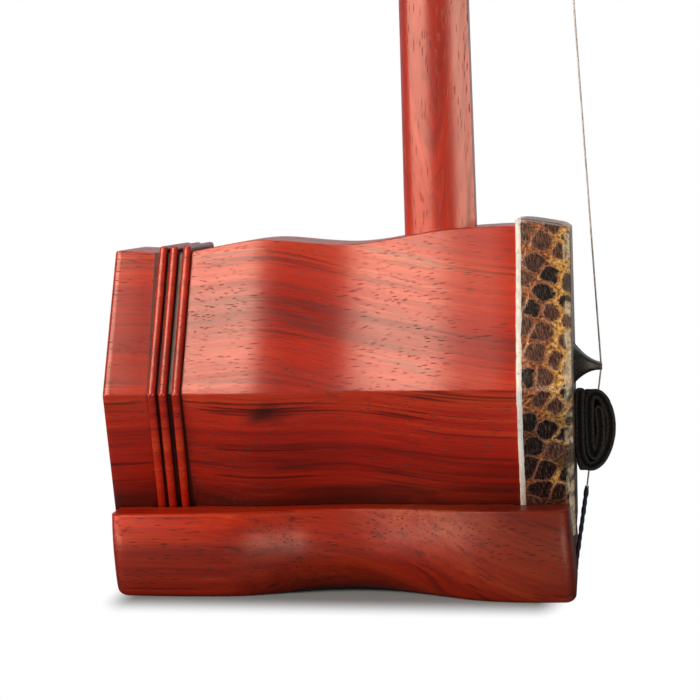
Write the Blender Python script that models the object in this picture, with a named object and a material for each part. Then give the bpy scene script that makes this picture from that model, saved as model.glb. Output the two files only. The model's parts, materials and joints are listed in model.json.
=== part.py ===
"""An erhu: a two-stringed fiddle with a hexagonal sound box, standing on its base.

Metres. +Z up, +X towards the skin end of the sound box, -Y towards the player's side.
The origin is the centre of the base's underside.
"""

import math

import bmesh
import bpy
from mathutils import Matrix, Vector

MM = 0.001
GAP = 0.3 * MM

# Frames: the box leans back a little on its base, and the neck a little more in the box.
BOX_HEIGHT = 57.4 * MM
BOX_TILT = math.radians(1.44)
NECK_OFFSET = 27.56 * MM
NECK_TILT = math.radians(0.48)

# Sound box. Profiles are (distance along the box, half the width across the flats).
BOX_BACK = -65.2 * MM
STAVE_END = 63.8 * MM
WALL = 4.6 * MM
BOX_PROFILE = [
    (-68.0, 39.8), (-57.0, 39.2), (-50.0, 38.6), (-43.0, 38.8), (-34.0, 40.4), (-25.0, 41.7),
    (-18.5, 41.7), (-8.5, 40.6), (1.0, 39.9), (9.0, 40.4), (18.8, 41.9), (28.5, 43.3),
    (39.0, 43.9), (50.0, 44.1), (64.0, 42.3),
]
STAVE_STEPS = 26
STAVES = {
    "stave_top": 90,
    "stave_upper_far": 30,
    "stave_lower_far": -30,
    "stave_bottom": -90,
    "stave_lower_near": -150,
    "stave_upper_near": 150,
}

# Half-round beads round the back of the box, standing plumb.
BEAD_CENTRES = (-51.4 * MM, -48.3 * MM, -44.6 * MM)
BEAD_HALF_WIDTH = 1.2 * MM
BEAD_TOP = 40.6 * MM
BEAD_STEPS = 5

# Skin, its edge strip, and the sound window in the back.
EDGE_STRIP = (49.9 * MM, 51.0 * MM)
EDGE_STRIP_RISE = 1.9 * MM
SKIN_BAND_START = 51.3 * MM
SKIN_FRONT = 65.0 * MM
SKIN_THICKNESS = 0.8 * MM
SKIN_OUTER = [(51.3, 46.0), (53.5, 45.9), (58.0, 45.2), (63.0, 44.2), (64.5, 43.6)]
SKIN_CORNER_RADIUS = 3.0 * MM
WINDOW_START = -58.5 * MM
WINDOW_THICKNESS = 3.0 * MM
WINDOW_HALF_WIDTH = 34.2 * MM
WINDOW_HOLE_RADIUS = 5.6 * MM
WINDOW_HOLE_PITCH = 13.4 * MM

# Base. Stations are (along X, half width of the foot, half width at the belly).
BASE_STATIONS = [
    (-66.0, 44.6, 46.2), (-52.0, 45.2, 47.2), (-38.0, 44.9, 47.2), (-27.0, 42.8, 46.0),
    (-16.7, 35.4, 43.0), (-8.0, 27.2, 40.2), (2.0, 22.8, 39.0), (10.6, 24.0, 39.6),
    (19.5, 30.4, 41.8), (28.4, 38.4, 45.0), (37.0, 44.8, 48.4), (46.0, 47.9, 50.0),
    (56.0, 48.0, 50.2), (68.0, 46.6, 49.2),
]
BASE_BACK = -62.3 * MM
BASE_FRONT = 65.5 * MM
BASE_SHEAR = 0.09
BASE_BELLY_HEIGHT = 11.5 * MM
BASE_RIM_HEIGHT = 24.0 * MM
BASE_RIM_RISE = 0.024
BASE_LEAN = 2.2 * MM
BASE_EDGE = 1.1 * MM
BASE_END_RADIUS = 3.2 * MM
BASE_STEPS = 30
BEAD_CHANNEL = (-54.5 * MM, -41.5 * MM)
SKIN_CHANNEL = 48.6 * MM
HOOK_RECESS = 5.0 * MM
HOOK_RECESS_SIZE = (5.5 * MM, 10.0 * MM)

# Neck: (height up the neck, depth front to back, width).
NECK_SECTIONS = [
    (-40.0, 20.8, 16.8), (43.0, 20.8, 16.8), (109.0, 20.1, 16.5), (420.0, 19.2, 15.8), (700.0, 18.0, 15.0),
]
NECK_STEPS = 8
NECK_FOOT = -36.2 * MM
TENON_RADIUS = 7.0 * MM
TENON_END = -47.3 * MM
HEAD_START = 690.0 * MM
HEAD_BEND_RADIUS = 58.0 * MM
HEAD_BEND = math.radians(68)
HEAD_END_DEPTH = 15.5 * MM
HEAD_END_WIDTH = 13.0 * MM
HEAD_CAP_THICKNESS = 2.4 * MM

# Bolt that holds the neck's foot down to the base.
BOLT_RADIUS = 2.5 * MM
BOLT_TOP = -22.0 * MM
BOLT_SEAT = -51.3 * MM
WASHER_THICKNESS = 1.2 * MM
WASHER_RADIUS = 7.5 * MM
BOLT_HEAD_HEIGHT = 3.4 * MM
BOLT_HEAD_RADIUS = 4.6 * MM
COUNTERBORE_RADIUS = 8.5 * MM

# Pegs, lying along the neck's front-to-back direction.
OUTER_PEG_HEIGHT = 582.0 * MM
INNER_PEG_HEIGHT = 662.0 * MM
PEG_FLUTES = 8
PEG_SEGMENTS = 32
PEG_HOLE_CLEARANCE = 0.3 * MM
PEG_PROFILE = [
    (-118.0, 9.6), (-117.0, 11.6), (-113.5, 12.8), (-108.0, 12.9), (-96.0, 11.8), (-80.0, 10.1),
    (-62.0, 8.3), (-46.0, 6.9), (-37.0, 6.3), (-34.0, 6.6), (-32.5, 7.6), (-30.0, 7.6),
    (-28.5, 6.4), (-24.0, 5.0), (-14.0, 4.5),
]
PEG_FLUTE_ENDS = (-112.0 * MM, -39.0 * MM)
PEG_FLUTE_DEPTH = 0.09
PEG_BORE_RADIUS = 4.3 * MM
PEG_TIP = 34.0 * MM
OUTER_TIP_RADIUS = 2.7 * MM
INNER_TIP_RADIUS = 3.5 * MM
BUTTON_RADIUS = 4.6 * MM
BUTTON_HEIGHT = 2.6 * MM

# Strings, bridge, damper, loop and silk ends. Box frame positions are (x, z).
INNER_STRING_RADIUS = 0.25 * MM
OUTER_STRING_RADIUS = 0.17 * MM
STRING_SPACING = 4.0 * MM
BRIDGE_NOTCH = Vector((72.8, 0.0, 2.6)) * MM
SILK_START = Vector((68.0, 0.0, -32.4)) * MM
SILK_TURNS = (0, 30, 60, 90, 125)
SILK_RADIUS = 0.62 * MM
STRING_SLOPE = -0.0557
LOOP_HEIGHT = 412.0 * MM
LOOP_BAND = 7.0 * MM
LOOP_THICKNESS = 1.3 * MM
OUTER_WINDING = (13.5 * MM, 19.0 * MM)
INNER_WINDING = (18.0 * MM, 23.0 * MM)
WINDING_TURNS = 6
BRIDGE_FOOT_CENTRE = 3.75 * MM
BRIDGE_TIP = 73.1 * MM
BRIDGE_FOOT = (8.6 * MM, 5.9 * MM)
BRIDGE_CROWN = (4.6 * MM, 1.0 * MM)
DAMPER_HALF_LENGTH = 14.0 * MM
DAMPER_SAG = 0.08
DAMPER_MIDDLE = Vector((71.0, 0.0, -13.0)) * MM
DAMPER_OUTLINE = [
    (65.6, -12.0), (65.5, -3.8), (66.2, -1.8), (67.3, -1.2), (68.3, -1.8), (68.9, -3.1),
    (69.6, -2.4), (70.9, -2.2), (72.8, -3.1), (74.8, -5.1), (76.2, -8.2), (76.9, -12.0),
    (76.6, -16.0), (75.3, -20.0), (73.2, -23.2), (70.5, -25.0), (67.9, -24.7), (66.1, -22.8),
    (65.6, -19.0),
]
HOOK_RADIUS = 1.1 * MM
HOOK_HALF_LENGTH = 8.5 * MM
HOOK_CENTRE = Vector((64.0, 0.0, 3.4)) * MM

ROSEWOOD = ((0.36, 0.045, 0.02), 0.28, 0.0)
PEG_WOOD = ((0.17, 0.022, 0.012), 0.32, 0.0)
BONE = ((0.80, 0.74, 0.60), 0.35, 0.0)
SNAKESKIN = ((0.22, 0.11, 0.04), 0.30, 0.0)
WHITE_GLUE = ((0.85, 0.83, 0.78), 0.55, 0.0)
BLACK_HORN = ((0.02, 0.02, 0.02), 0.40, 0.0)
FELT = ((0.012, 0.012, 0.013), 0.95, 0.0)
STEEL = ((0.62, 0.62, 0.60), 0.25, 1.0)
BRASS = ((0.72, 0.50, 0.20), 0.30, 1.0)
SILK = ((0.02, 0.025, 0.12), 0.60, 0.0)
COTTON = ((0.70, 0.62, 0.45), 0.80, 0.0)

BOX = Matrix.Translation((0, 0, BOX_HEIGHT)) @ Matrix.Rotation(-BOX_TILT, 4, "Y")
NECK = Matrix.Translation((NECK_OFFSET, 0, 0)) @ Matrix.Rotation(-NECK_TILT, 4, "Y")


def clear_scene():
    for obj in list(bpy.data.objects):
        bpy.data.objects.remove(obj, do_unlink=True)


def spline(points, x):
    """Catmull-Rom value at x of a curve through (x, value) points, both in millimetres."""
    x /= MM
    last = len(points) - 2
    i = min(max(sum(p[0] <= x for p in points) - 1, 0), last)
    (x0, y0), (x1, y1) = points[i], points[i + 1]
    before, after = points[max(i - 1, 0)], points[min(i + 2, last + 1)]
    m0 = (y1 - before[1]) / (x1 - before[0]) * (x1 - x0)
    m1 = (after[1] - y0) / (after[0] - x0) * (x1 - x0)
    t = (x - x0) / (x1 - x0)
    value = (2 * t**3 - 3 * t**2 + 1) * y0 + (t**3 - 2 * t**2 + t) * m0
    value += (3 * t**2 - 2 * t**3) * y1 + (t**3 - t**2) * m1
    return value * MM


def smooth_step(value, low, high):
    t = min(max((value - low) / (high - low), 0.0), 1.0)
    return t * t * (3 - 2 * t)


def between(low, high, steps):
    return [low + (high - low) * i / steps for i in range(steps + 1)]


def frame_empty(name, parent, matrix):
    empty = bpy.data.objects.new(name, None)
    empty.empty_display_size = 0.02
    bpy.context.scene.collection.objects.link(empty)
    empty.parent = parent
    empty.matrix_local = matrix
    return empty


def material(name, look):
    colour, roughness, metallic = look
    made = bpy.data.materials.new(name)
    made.use_nodes = True
    shader = made.node_tree.nodes["Principled BSDF"]
    shader.inputs["Base Color"].default_value = (*colour, 1.0)
    shader.inputs["Roughness"].default_value = roughness
    shader.inputs["Metallic"].default_value = metallic
    return made


def mesh_object(name, points, faces, parent, look=None, smooth=False):
    """One closed mesh with its faces turned outwards; with no look it is a hidden cutter."""
    mesh = bpy.data.meshes.new(name)
    mesh.from_pydata([tuple(p) for p in points], [], faces)
    shape = bmesh.new()
    shape.from_mesh(mesh)
    bmesh.ops.recalc_face_normals(shape, faces=shape.faces)
    for face in shape.faces:
        face.smooth = smooth
    shape.to_mesh(mesh)
    shape.free()
    obj = bpy.data.objects.new(name, mesh)
    bpy.context.scene.collection.objects.link(obj)
    obj.parent = parent
    if look:
        mesh.materials.append(material(name, look))
    else:
        obj.hide_render = True
        obj.display_type = "WIRE"
    return obj


def loft(name, rings, parent, look=None, smooth=False, wrap=False):
    """Joins rings of equal length; the ends are capped, or joined to each other with wrap."""
    count = len(rings[0])
    points = [p for ring in rings for p in ring]
    pairs = len(rings) if wrap else len(rings) - 1
    faces = []
    for i in range(pairs):
        here, there = i * count, (i + 1) % len(rings) * count
        for j in range(count):
            k = (j + 1) % count
            faces.append((here + j, here + k, there + k, there + j))
    if not wrap:
        faces.append(tuple(range(count)))
        faces.append(tuple(range(len(points) - count, len(points))))
    return mesh_object(name, points, faces, parent, look, smooth)


def circle_x(x, radius, segments, start=0.0):
    turns = [start + math.tau * i / segments for i in range(segments)]
    return [(x, radius * math.cos(a), radius * math.sin(a)) for a in turns]


def cylinder_z(name, parent, radius, low, high, segments=24, look=None):
    turns = [math.tau * i / segments for i in range(segments)]
    rings = [[(radius * math.cos(a), radius * math.sin(a), z) for a in turns] for z in (low, high)]
    return loft(name, rings, parent, look)


def cut(obj, *cutters):
    for cutter in cutters:
        boolean = obj.modifiers.new(cutter.name, "BOOLEAN")
        boolean.operation = "DIFFERENCE"
        boolean.solver = "EXACT"
        boolean.object = cutter


def tube(name, path, radius, parent, look, segments=8):
    """A round rod along a path of points."""
    rings = []
    side = Vector((0, 1, 0))
    for i, point in enumerate(path):
        ahead = (path[min(i + 1, len(path) - 1)] - path[max(i - 1, 0)]).normalized()
        side = (side - ahead * side.dot(ahead)).normalized()
        up = ahead.cross(side)
        turns = [math.tau * k / segments for k in range(segments)]
        rings.append([point + radius * (side * math.cos(a) + up * math.sin(a)) for a in turns])
    return loft(name, rings, parent, look, smooth=True)


def hexagon(half_width, corner_radius, steps=3):
    """(y, z) points of a hexagon with flats above and below and rounded corners."""
    centre = (half_width - corner_radius) / math.cos(math.radians(30))
    points = []
    for corner in range(6):
        middle = 60 * corner
        cy = centre * math.cos(math.radians(middle))
        cz = centre * math.sin(math.radians(middle))
        for angle in between(middle - 30, middle + 30, steps):
            turn = math.radians(angle)
            points.append((cy + corner_radius * math.cos(turn), cz + corner_radius * math.sin(turn)))
    return points


def plumb(x, z):
    """Box-frame x of a plumb plane that crosses the box's centre line at world x."""
    return x / math.cos(BOX_TILT) + z * math.tan(BOX_TILT)


# Sound box


def stave(name, turn, box):
    """One of the six boards, its edges mitred and its back end cut plumb."""
    angle = math.radians(turn)
    seam = GAP / 2 / math.cos(math.radians(30))
    rings = []
    for x in between(BOX_BACK, STAVE_END, STAVE_STEPS):
        outer = spline(BOX_PROFILE, x)
        ring = []
        for out, side in ((outer, -1), (outer, 1), (outer - WALL, 1), (outer - WALL, -1)):
            along = side * (out * math.tan(math.radians(30)) - seam)
            y = out * math.cos(angle) - along * math.sin(angle)
            z = out * math.sin(angle) + along * math.cos(angle)
            ring.append((plumb(BOX_BACK, z) if x == BOX_BACK else x, y, z))
        rings.append(ring)
    return loft(name, rings, box, ROSEWOOD)


def trim_ring(name, centre, box):
    wall = max(spline(BOX_PROFILE, centre + side * BEAD_HALF_WIDTH) for side in (-1, 1)) + GAP
    rise = BEAD_TOP - wall - 0.4 * MM
    profile = [(-BEAD_HALF_WIDTH, wall)]
    for angle in between(0, 180, BEAD_STEPS):
        turn = math.radians(180 - angle)
        profile.append((BEAD_HALF_WIDTH * math.cos(turn), wall + 0.4 * MM + rise * math.sin(turn)))
    profile.append((BEAD_HALF_WIDTH, wall))
    rings = [[(plumb(centre, z) + x, y, z) for y, z in hexagon(out, 0.8 * MM, 2)] for x, out in profile]
    return loft(name, rings, box, ROSEWOOD, wrap=True)


def edge_strip(box):
    inner = spline(BOX_PROFILE, EDGE_STRIP[0]) + GAP
    outer = inner - GAP + EDGE_STRIP_RISE
    rings = []
    for x, out in ((0, inner), (0, outer), (1, outer), (1, inner)):
        rings.append([(EDGE_STRIP[x], y, z) for y, z in hexagon(out, 1.0 * MM, 2)])
    return loft("skin_edge_strip", rings, box, WHITE_GLUE, wrap=True)


def python_skin(box):
    """The drum skin stretched over the front and glued down round the rim."""
    back = SKIN_FRONT - SKIN_THICKNESS
    inside = [(back, spline(BOX_PROFILE, STAVE_END) + GAP)]
    inside += [(x, spline(BOX_PROFILE, x) + GAP) for x in between(60 * MM, SKIN_BAND_START, 3)]
    rings = [[(x, y, z) for y, z in hexagon(out, 1.2 * MM)] for x, out in inside]
    for x, out in SKIN_OUTER:
        rings.append([(x * MM, y, z) for y, z in hexagon(out * MM, SKIN_CORNER_RADIUS)])
    rings.append([(SKIN_FRONT, y, z) for y, z in hexagon(SKIN_OUTER[-1][1] * MM - 0.9 * MM, 2.4 * MM)])
    return loft("python_skin", rings, box, SNAKESKIN)


def rear_window(box):
    """Pierced panel set into the back of the box."""
    ends = (WINDOW_START, WINDOW_START + WINDOW_THICKNESS)
    outline = hexagon(WINDOW_HALF_WIDTH, 0.8 * MM, 1)
    panel = loft("rear_window", [[(x, y, z) for y, z in outline] for x in ends], box, ROSEWOOD)
    rows = range(-2, 3)
    spots = [(i + j / 2, j * math.sqrt(3) / 2) for i in rows for j in rows if abs(i + j) <= 2]
    reach = (ends[0] - 2 * MM, ends[1] + 2 * MM)
    for number, (across, up) in enumerate(spots):
        y, z = across * WINDOW_HOLE_PITCH, up * WINDOW_HOLE_PITCH
        rings = []
        for x in reach:
            ring = circle_x(x, WINDOW_HOLE_RADIUS, 12, math.radians(15))
            rings.append([(px, y + py, z + pz) for px, py, pz in ring])
        cut(panel, loft(f"window_hole_{number}", rings, box))
    return panel


# Base


def cleared(along, x):
    """Half width across the flats that the base has to clear at x, with a gap outside what is there."""
    if BEAD_CHANNEL[0] < x < BEAD_CHANNEL[1]:
        return BEAD_TOP + GAP
    if x > SKIN_CHANNEL:
        return spline(SKIN_OUTER, max(along, 53.5 * MM)) + 2 * GAP
    return spline(BOX_PROFILE, along) + GAP


def under_box(x, y):
    """World height of the trough below the box at x and y."""
    z = -40 * MM
    for _ in range(4):
        along = x * math.cos(BOX_TILT) + z * math.sin(BOX_TILT)
        out = cleared(along, x)
        z = max(-out, -2 * out + math.sqrt(3) * abs(y))
    return BOX_HEIGHT + z * math.cos(BOX_TILT) + along * math.sin(BOX_TILT)


def rim_width(x, height):
    """Half width at which the trough reaches the rim's height."""
    low, high = 10 * MM, 50 * MM
    for _ in range(24):
        middle = (low + high) / 2
        low, high = (middle, high) if under_box(x, middle) < height else (low, middle)
    return low


def base_section(x, ease):
    """Half outline of the base at x, from the foot's centre round to the trough's centre."""
    foot = spline([(s[0], s[1]) for s in BASE_STATIONS], x) - ease
    belly = spline([(s[0], s[2]) for s in BASE_STATIONS], x) - ease
    outline = [(0.0, ease), (foot / 2, ease)]
    for angle in between(0, 90, 5):
        turn = math.radians(angle)
        low = BASE_BELLY_HEIGHT - ease
        y, z = foot + (belly - foot) * math.sin(turn), BASE_BELLY_HEIGHT - low * math.cos(turn)
        outline.append((y, z))
    rim_height = BASE_RIM_HEIGHT + BASE_RIM_RISE * x
    rim = rim_width(x + (BASE_BELLY_HEIGHT - rim_height) * BASE_SHEAR, rim_height)
    height = rim_height - BASE_EDGE - BASE_BELLY_HEIGHT
    outline += [(belly - BASE_LEAN * t**2, BASE_BELLY_HEIGHT + height * t) for t in between(0, 1, 3)[1:]]
    top = belly - BASE_LEAN
    outline += [
        (top - 0.3 * BASE_EDGE, rim_height - 0.3 * BASE_EDGE),
        (top - BASE_EDGE, rim_height),
        (rim, rim_height),
    ]
    flat = cleared(x - 1 * MM, x) * math.tan(math.radians(30))
    outline += [(y, None) for y in (rim * 0.6 + flat * 0.4, flat, flat / 2, 0.0)]
    return outline


def base_body():
    """Cradle that carries the box, waisted at the middle and cut to the box's underside."""
    middle = BASE_BELLY_HEIGHT
    places = between(BASE_BACK + BASE_END_RADIUS, BASE_FRONT - BASE_END_RADIUS, BASE_STEPS)
    eased = [(x, 0.0) for x in places]
    for angle in (30, 60, 90):
        turn = math.radians(angle)
        inset = BASE_END_RADIUS * (1 - math.sin(turn))
        ease = BASE_END_RADIUS * (1 - math.cos(turn)) * 0.7
        eased = [(BASE_BACK + inset, ease)] + eased + [(BASE_FRONT - inset, ease)]
    rings = []
    for x, ease in sorted(eased):
        half = []
        for y, z in base_section(x, ease):
            along = x if z is None else x + (middle - z) * BASE_SHEAR
            if z is None:
                z = under_box(along, y)
                for _ in range(4):
                    along = x + (middle - z) * BASE_SHEAR
                    z = under_box(along, y)
            half.append((along, y, z))
        rings.append(half + [(px, -py, pz) for px, py, pz in half[-2:0:-1]])
    return loft("base", rings, None, ROSEWOOD)


def block(name, low, high):
    corners = [(low[1], low[2]), (high[1], low[2]), (high[1], high[2]), (low[1], high[2])]
    return loft(name, [[(x, y, z) for y, z in corners] for x in (low[0], high[0])], None)


def base(neck):
    body = base_body()
    half, top = HOOK_RECESS_SIZE
    recess = block(
        "hook_recess", (BASE_FRONT - HOOK_RECESS, -half, -5 * MM), (BASE_FRONT + 9 * MM, half, top)
    )
    cut(
        body,
        cylinder_z("socket", neck, TENON_RADIUS + GAP, TENON_END - 2 * GAP, -30 * MM),
        cylinder_z("bolt_way", neck, BOLT_RADIUS + GAP, -70 * MM, -30 * MM, 16),
        cylinder_z("counterbore", neck, COUNTERBORE_RADIUS, -70 * MM, BOLT_SEAT),
        recess,
        loft("hook_way", hook_rings(HOOK_RADIUS + GAP, HOOK_HALF_LENGTH + GAP, 0.1 * MM), None),
    )
    return body


# Neck


def neck_ring(depth, width, grow=0.0):
    """(x, y) outline of the neck: flat in front with crisp edges, rounded behind."""
    front, side, shoulder = depth / 2 + grow, width / 2 + grow, depth * 0.12
    edge = 1.0 * MM
    ring = [(front, -side + edge), (front, side - edge), (front - edge, side)]
    for angle in between(0, 180, 10):
        turn = math.radians(angle)
        ring.append((shoulder - (shoulder + front) * math.sin(turn), side * math.cos(turn)))
    ring.append((front - edge, -side))
    return ring


def neck_size(height):
    depth = spline([(s[0], s[1]) for s in NECK_SECTIONS], height)
    width = spline([(s[0], s[2]) for s in NECK_SECTIONS], height)
    return depth, width


def head_ring(bend, depth, width, beyond=0.0):
    """The neck's outline carried round the head's backward bend."""
    ring = []
    for x, y in neck_ring(depth, width):
        reach = HEAD_BEND_RADIUS + x
        px = reach * math.cos(bend) - HEAD_BEND_RADIUS - beyond * math.sin(bend)
        pz = HEAD_START + reach * math.sin(bend) + beyond * math.cos(bend)
        ring.append((px, y, pz))
    return ring


def neck_rod(neck):
    rings = []
    for height in between(NECK_FOOT, HEAD_START, NECK_STEPS):
        rings.append([(x, y, height) for x, y in neck_ring(*neck_size(height))])
    depth, width = neck_size(HEAD_START)
    for step in between(0, 1, 9)[1:]:
        ease = smooth_step(step, 0, 1)
        end_depth = depth + (HEAD_END_DEPTH - depth) * ease
        end_width = width + (HEAD_END_WIDTH - width) * ease
        rings.append(head_ring(HEAD_BEND * step, end_depth, end_width))
    rod = loft("neck", rings, neck, ROSEWOOD)
    tenon = cylinder_z("tenon", neck, TENON_RADIUS, TENON_END, NECK_FOOT + 2 * MM)
    join = rod.modifiers.new("tenon", "BOOLEAN")
    join.operation = "UNION"
    join.solver = "EXACT"
    join.object = tenon
    cut(rod, cylinder_z("bolt_hole", neck, BOLT_RADIUS + GAP, -60 * MM, BOLT_TOP + GAP, 16))
    for name, height in (("outer", OUTER_PEG_HEIGHT), ("inner", INNER_PEG_HEIGHT)):
        reach = (-20 * MM, 20 * MM)
        rings = [circle_x(x, PEG_BORE_RADIUS + PEG_HOLE_CLEARANCE, 24) for x in reach]
        hole = [[(x, y, height + z) for x, y, z in ring] for ring in rings]
        cut(rod, loft(f"{name}_peg_hole", hole, neck))
    return rod


def head_cap(neck):
    rings = []
    for beyond, ease in ((GAP, 0.0), (GAP + 1.6 * MM, 0.0), (GAP + HEAD_CAP_THICKNESS, 0.8 * MM)):
        rings.append(head_ring(HEAD_BEND, HEAD_END_DEPTH - 2 * ease, HEAD_END_WIDTH - 2 * ease, beyond))
    return loft("head_cap", rings, neck, BONE)


def neck_bolt(neck):
    """Hexagon-headed bolt and its washer, up through the base into the neck's foot."""
    washer_top = BOLT_SEAT - GAP
    head_top = washer_top - WASHER_THICKNESS - GAP
    turns = [math.tau * i / 12 for i in range(12)]
    head = [BOLT_HEAD_RADIUS * (1.0 if i % 2 == 0 else math.cos(math.radians(30))) for i in range(12)]
    rings = []
    for z, radii in (
        (head_top - BOLT_HEAD_HEIGHT, head),
        (head_top, head),
        (head_top, [BOLT_RADIUS] * 12),
        (BOLT_TOP - 0.8 * MM, [BOLT_RADIUS] * 12),
        (BOLT_TOP, [BOLT_RADIUS - 0.8 * MM] * 12),
    ):
        rings.append([(r * math.cos(a), r * math.sin(a), z) for r, a in zip(radii, turns)])
    loft("neck_bolt", rings, neck, STEEL)
    washer = []
    for radius, z in (
        (BOLT_RADIUS + GAP, washer_top - WASHER_THICKNESS),
        (WASHER_RADIUS, washer_top - WASHER_THICKNESS),
        (WASHER_RADIUS, washer_top),
        (BOLT_RADIUS + GAP, washer_top),
    ):
        turns = [math.tau * i / 24 for i in range(24)]
        washer.append([(radius * math.cos(a), radius * math.sin(a), z) for a in turns])
    loft("washer", washer, neck, STEEL, wrap=True)


# Pegs


def peg(name, axis, tip_radius):
    """Fluted handle behind the neck, shaft through it, thin end in front for the string."""
    rings = []
    for x, radius in PEG_PROFILE:
        x, radius = x * MM, radius * MM
        fluted = smooth_step(x, PEG_FLUTE_ENDS[0], PEG_FLUTE_ENDS[0] + 8 * MM)
        fluted *= 1 - smooth_step(x, PEG_FLUTE_ENDS[1] - 14 * MM, PEG_FLUTE_ENDS[1])
        ring = []
        for i in range(PEG_SEGMENTS):
            turn = math.tau * i / PEG_SEGMENTS
            dip = PEG_FLUTE_DEPTH * fluted * (1 + math.cos(PEG_FLUTES * turn)) / 2
            r = radius * (1 - dip)
            ring.append((x, r * math.cos(turn), r * math.sin(turn)))
        rings.append(ring)
    for x, radius in (
        (-10.5 * MM, PEG_BORE_RADIUS),
        (10.5 * MM, PEG_BORE_RADIUS),
        (11.5 * MM, tip_radius),
        (PEG_TIP - 3 * MM, tip_radius),
        (PEG_TIP - 2 * MM, tip_radius + 0.5 * MM),
        (PEG_TIP - 0.6 * MM, tip_radius + 0.5 * MM),
        (PEG_TIP, tip_radius - 0.3 * MM),
    ):
        rings.append(circle_x(x, radius, PEG_SEGMENTS))
    return loft(name, rings, axis, PEG_WOOD, smooth=True)


def peg_button(name, axis):
    back = PEG_PROFILE[0][0] * MM - GAP
    rings = []
    for angle in between(0, 75, 4):
        turn = math.radians(angle)
        rings.append(circle_x(back - BUTTON_HEIGHT * math.sin(turn), BUTTON_RADIUS * math.cos(turn), 20))
    return loft(name, rings, axis, BONE, smooth=True)


def winding(name, axis, ends, tip_radius, string_radius):
    """The turns of string round a peg, as one ribbed sleeve."""
    inner = tip_radius + GAP
    profile = [(ends[0], inner)]
    steps = 2 * WINDING_TURNS
    for i, x in enumerate(between(ends[0], ends[1], steps)):
        profile.append((x, inner + string_radius * (2.0 if i % 2 else 1.1)))
    profile.append((ends[1], inner))
    return loft(name, [circle_x(x, r, 20) for x, r in profile], axis, STEEL, smooth=True, wrap=True)


# Strings and what they touch


def at(point, y):
    return Vector((point.x, y, point.z))


def loop_point():
    """Where the strings pass the loop, in the box frame."""
    up = LOOP_HEIGHT
    return Vector((BRIDGE_NOTCH.x + STRING_SLOPE * (up - BRIDGE_NOTCH.z), 0, up))


def string(name, side, radius, peg_height, winding_ends, tip_radius, box):
    y = side * STRING_SPACING / 2
    off_peg = side * (tip_radius + 2 * GAP + 3 * radius)
    end = NECK @ Vector((winding_ends[1] - radius, 0, peg_height))
    path = [at(SILK_START, y), at(BRIDGE_NOTCH, y), at(loop_point(), y), at(end, off_peg)]
    return tube(name, path, radius, box, STEEL, 6)


def silk_end(name, side):
    """Bound end of a string, looped under the pin in the base."""
    y = side * STRING_SPACING / 2
    top = BOX @ SILK_START
    wrap = HOOK_RADIUS + GAP + SILK_RADIUS
    path = [top + ((HOOK_CENTRE + Vector((wrap, 0, 0))) - top).normalized() * GAP]
    for angle in SILK_TURNS:
        turn = math.radians(angle)
        path.append(HOOK_CENTRE + wrap * Vector((math.cos(turn), 0, -math.sin(turn))))
    return tube(name, [at(point, y) for point in path], SILK_RADIUS, None, SILK, 8)


def convex_reach(points, centre, direction):
    """Distance from centre to the edge of the points' convex hull along direction."""
    reach = 1.0
    for p in points:
        for q in points:
            edge = q - p
            if edge.length < 1e-6:
                continue
            normal = Vector((edge.y, -edge.x)).normalized()
            if all((r - p).dot(normal) <= 1e-9 for r in points):
                facing = direction.dot(normal)
                if facing > 1e-6:
                    reach = min(reach, (p - centre).dot(normal) / facing)
    return reach


def qianjin(neck):
    """Thread band round the neck and both strings that sets their sounding length."""
    crossing = NECK.inverted() @ loop_point()
    depth, width = neck_size(LOOP_HEIGHT)
    centre = Vector((crossing.x / 2, 0))
    hulls = []
    for grow in (GAP, GAP + LOOP_THICKNESS):
        outline = [Vector(p) for p in neck_ring(depth, width, grow)]
        for angle in (0, 30, 60, 90):
            turn = math.radians(angle)
            reach = INNER_STRING_RADIUS + grow
            x, y = crossing.x + reach * math.cos(turn), STRING_SPACING / 2 + reach * math.sin(turn)
            outline += [Vector((x, y)), Vector((x, -y))]
        hulls.append(outline)
    turns = sorted({round(math.atan2(p.y, p.x - centre.x), 3) for outline in hulls for p in outline})
    loops = []
    for outline in hulls:
        ways = [Vector((math.cos(turn), math.sin(turn))) for turn in turns]
        loops.append([centre + way * convex_reach(outline, centre, way) for way in ways])
    low, high = crossing.z - LOOP_BAND / 2, crossing.z + LOOP_BAND / 2
    rings = []
    for loop, z in ((loops[0], low), (loops[1], low), (loops[1], high), (loops[0], high)):
        rings.append([(p.x, p.y, z) for p in loop])
    return loft("qianjin", rings, neck, COTTON, wrap=True)


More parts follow.
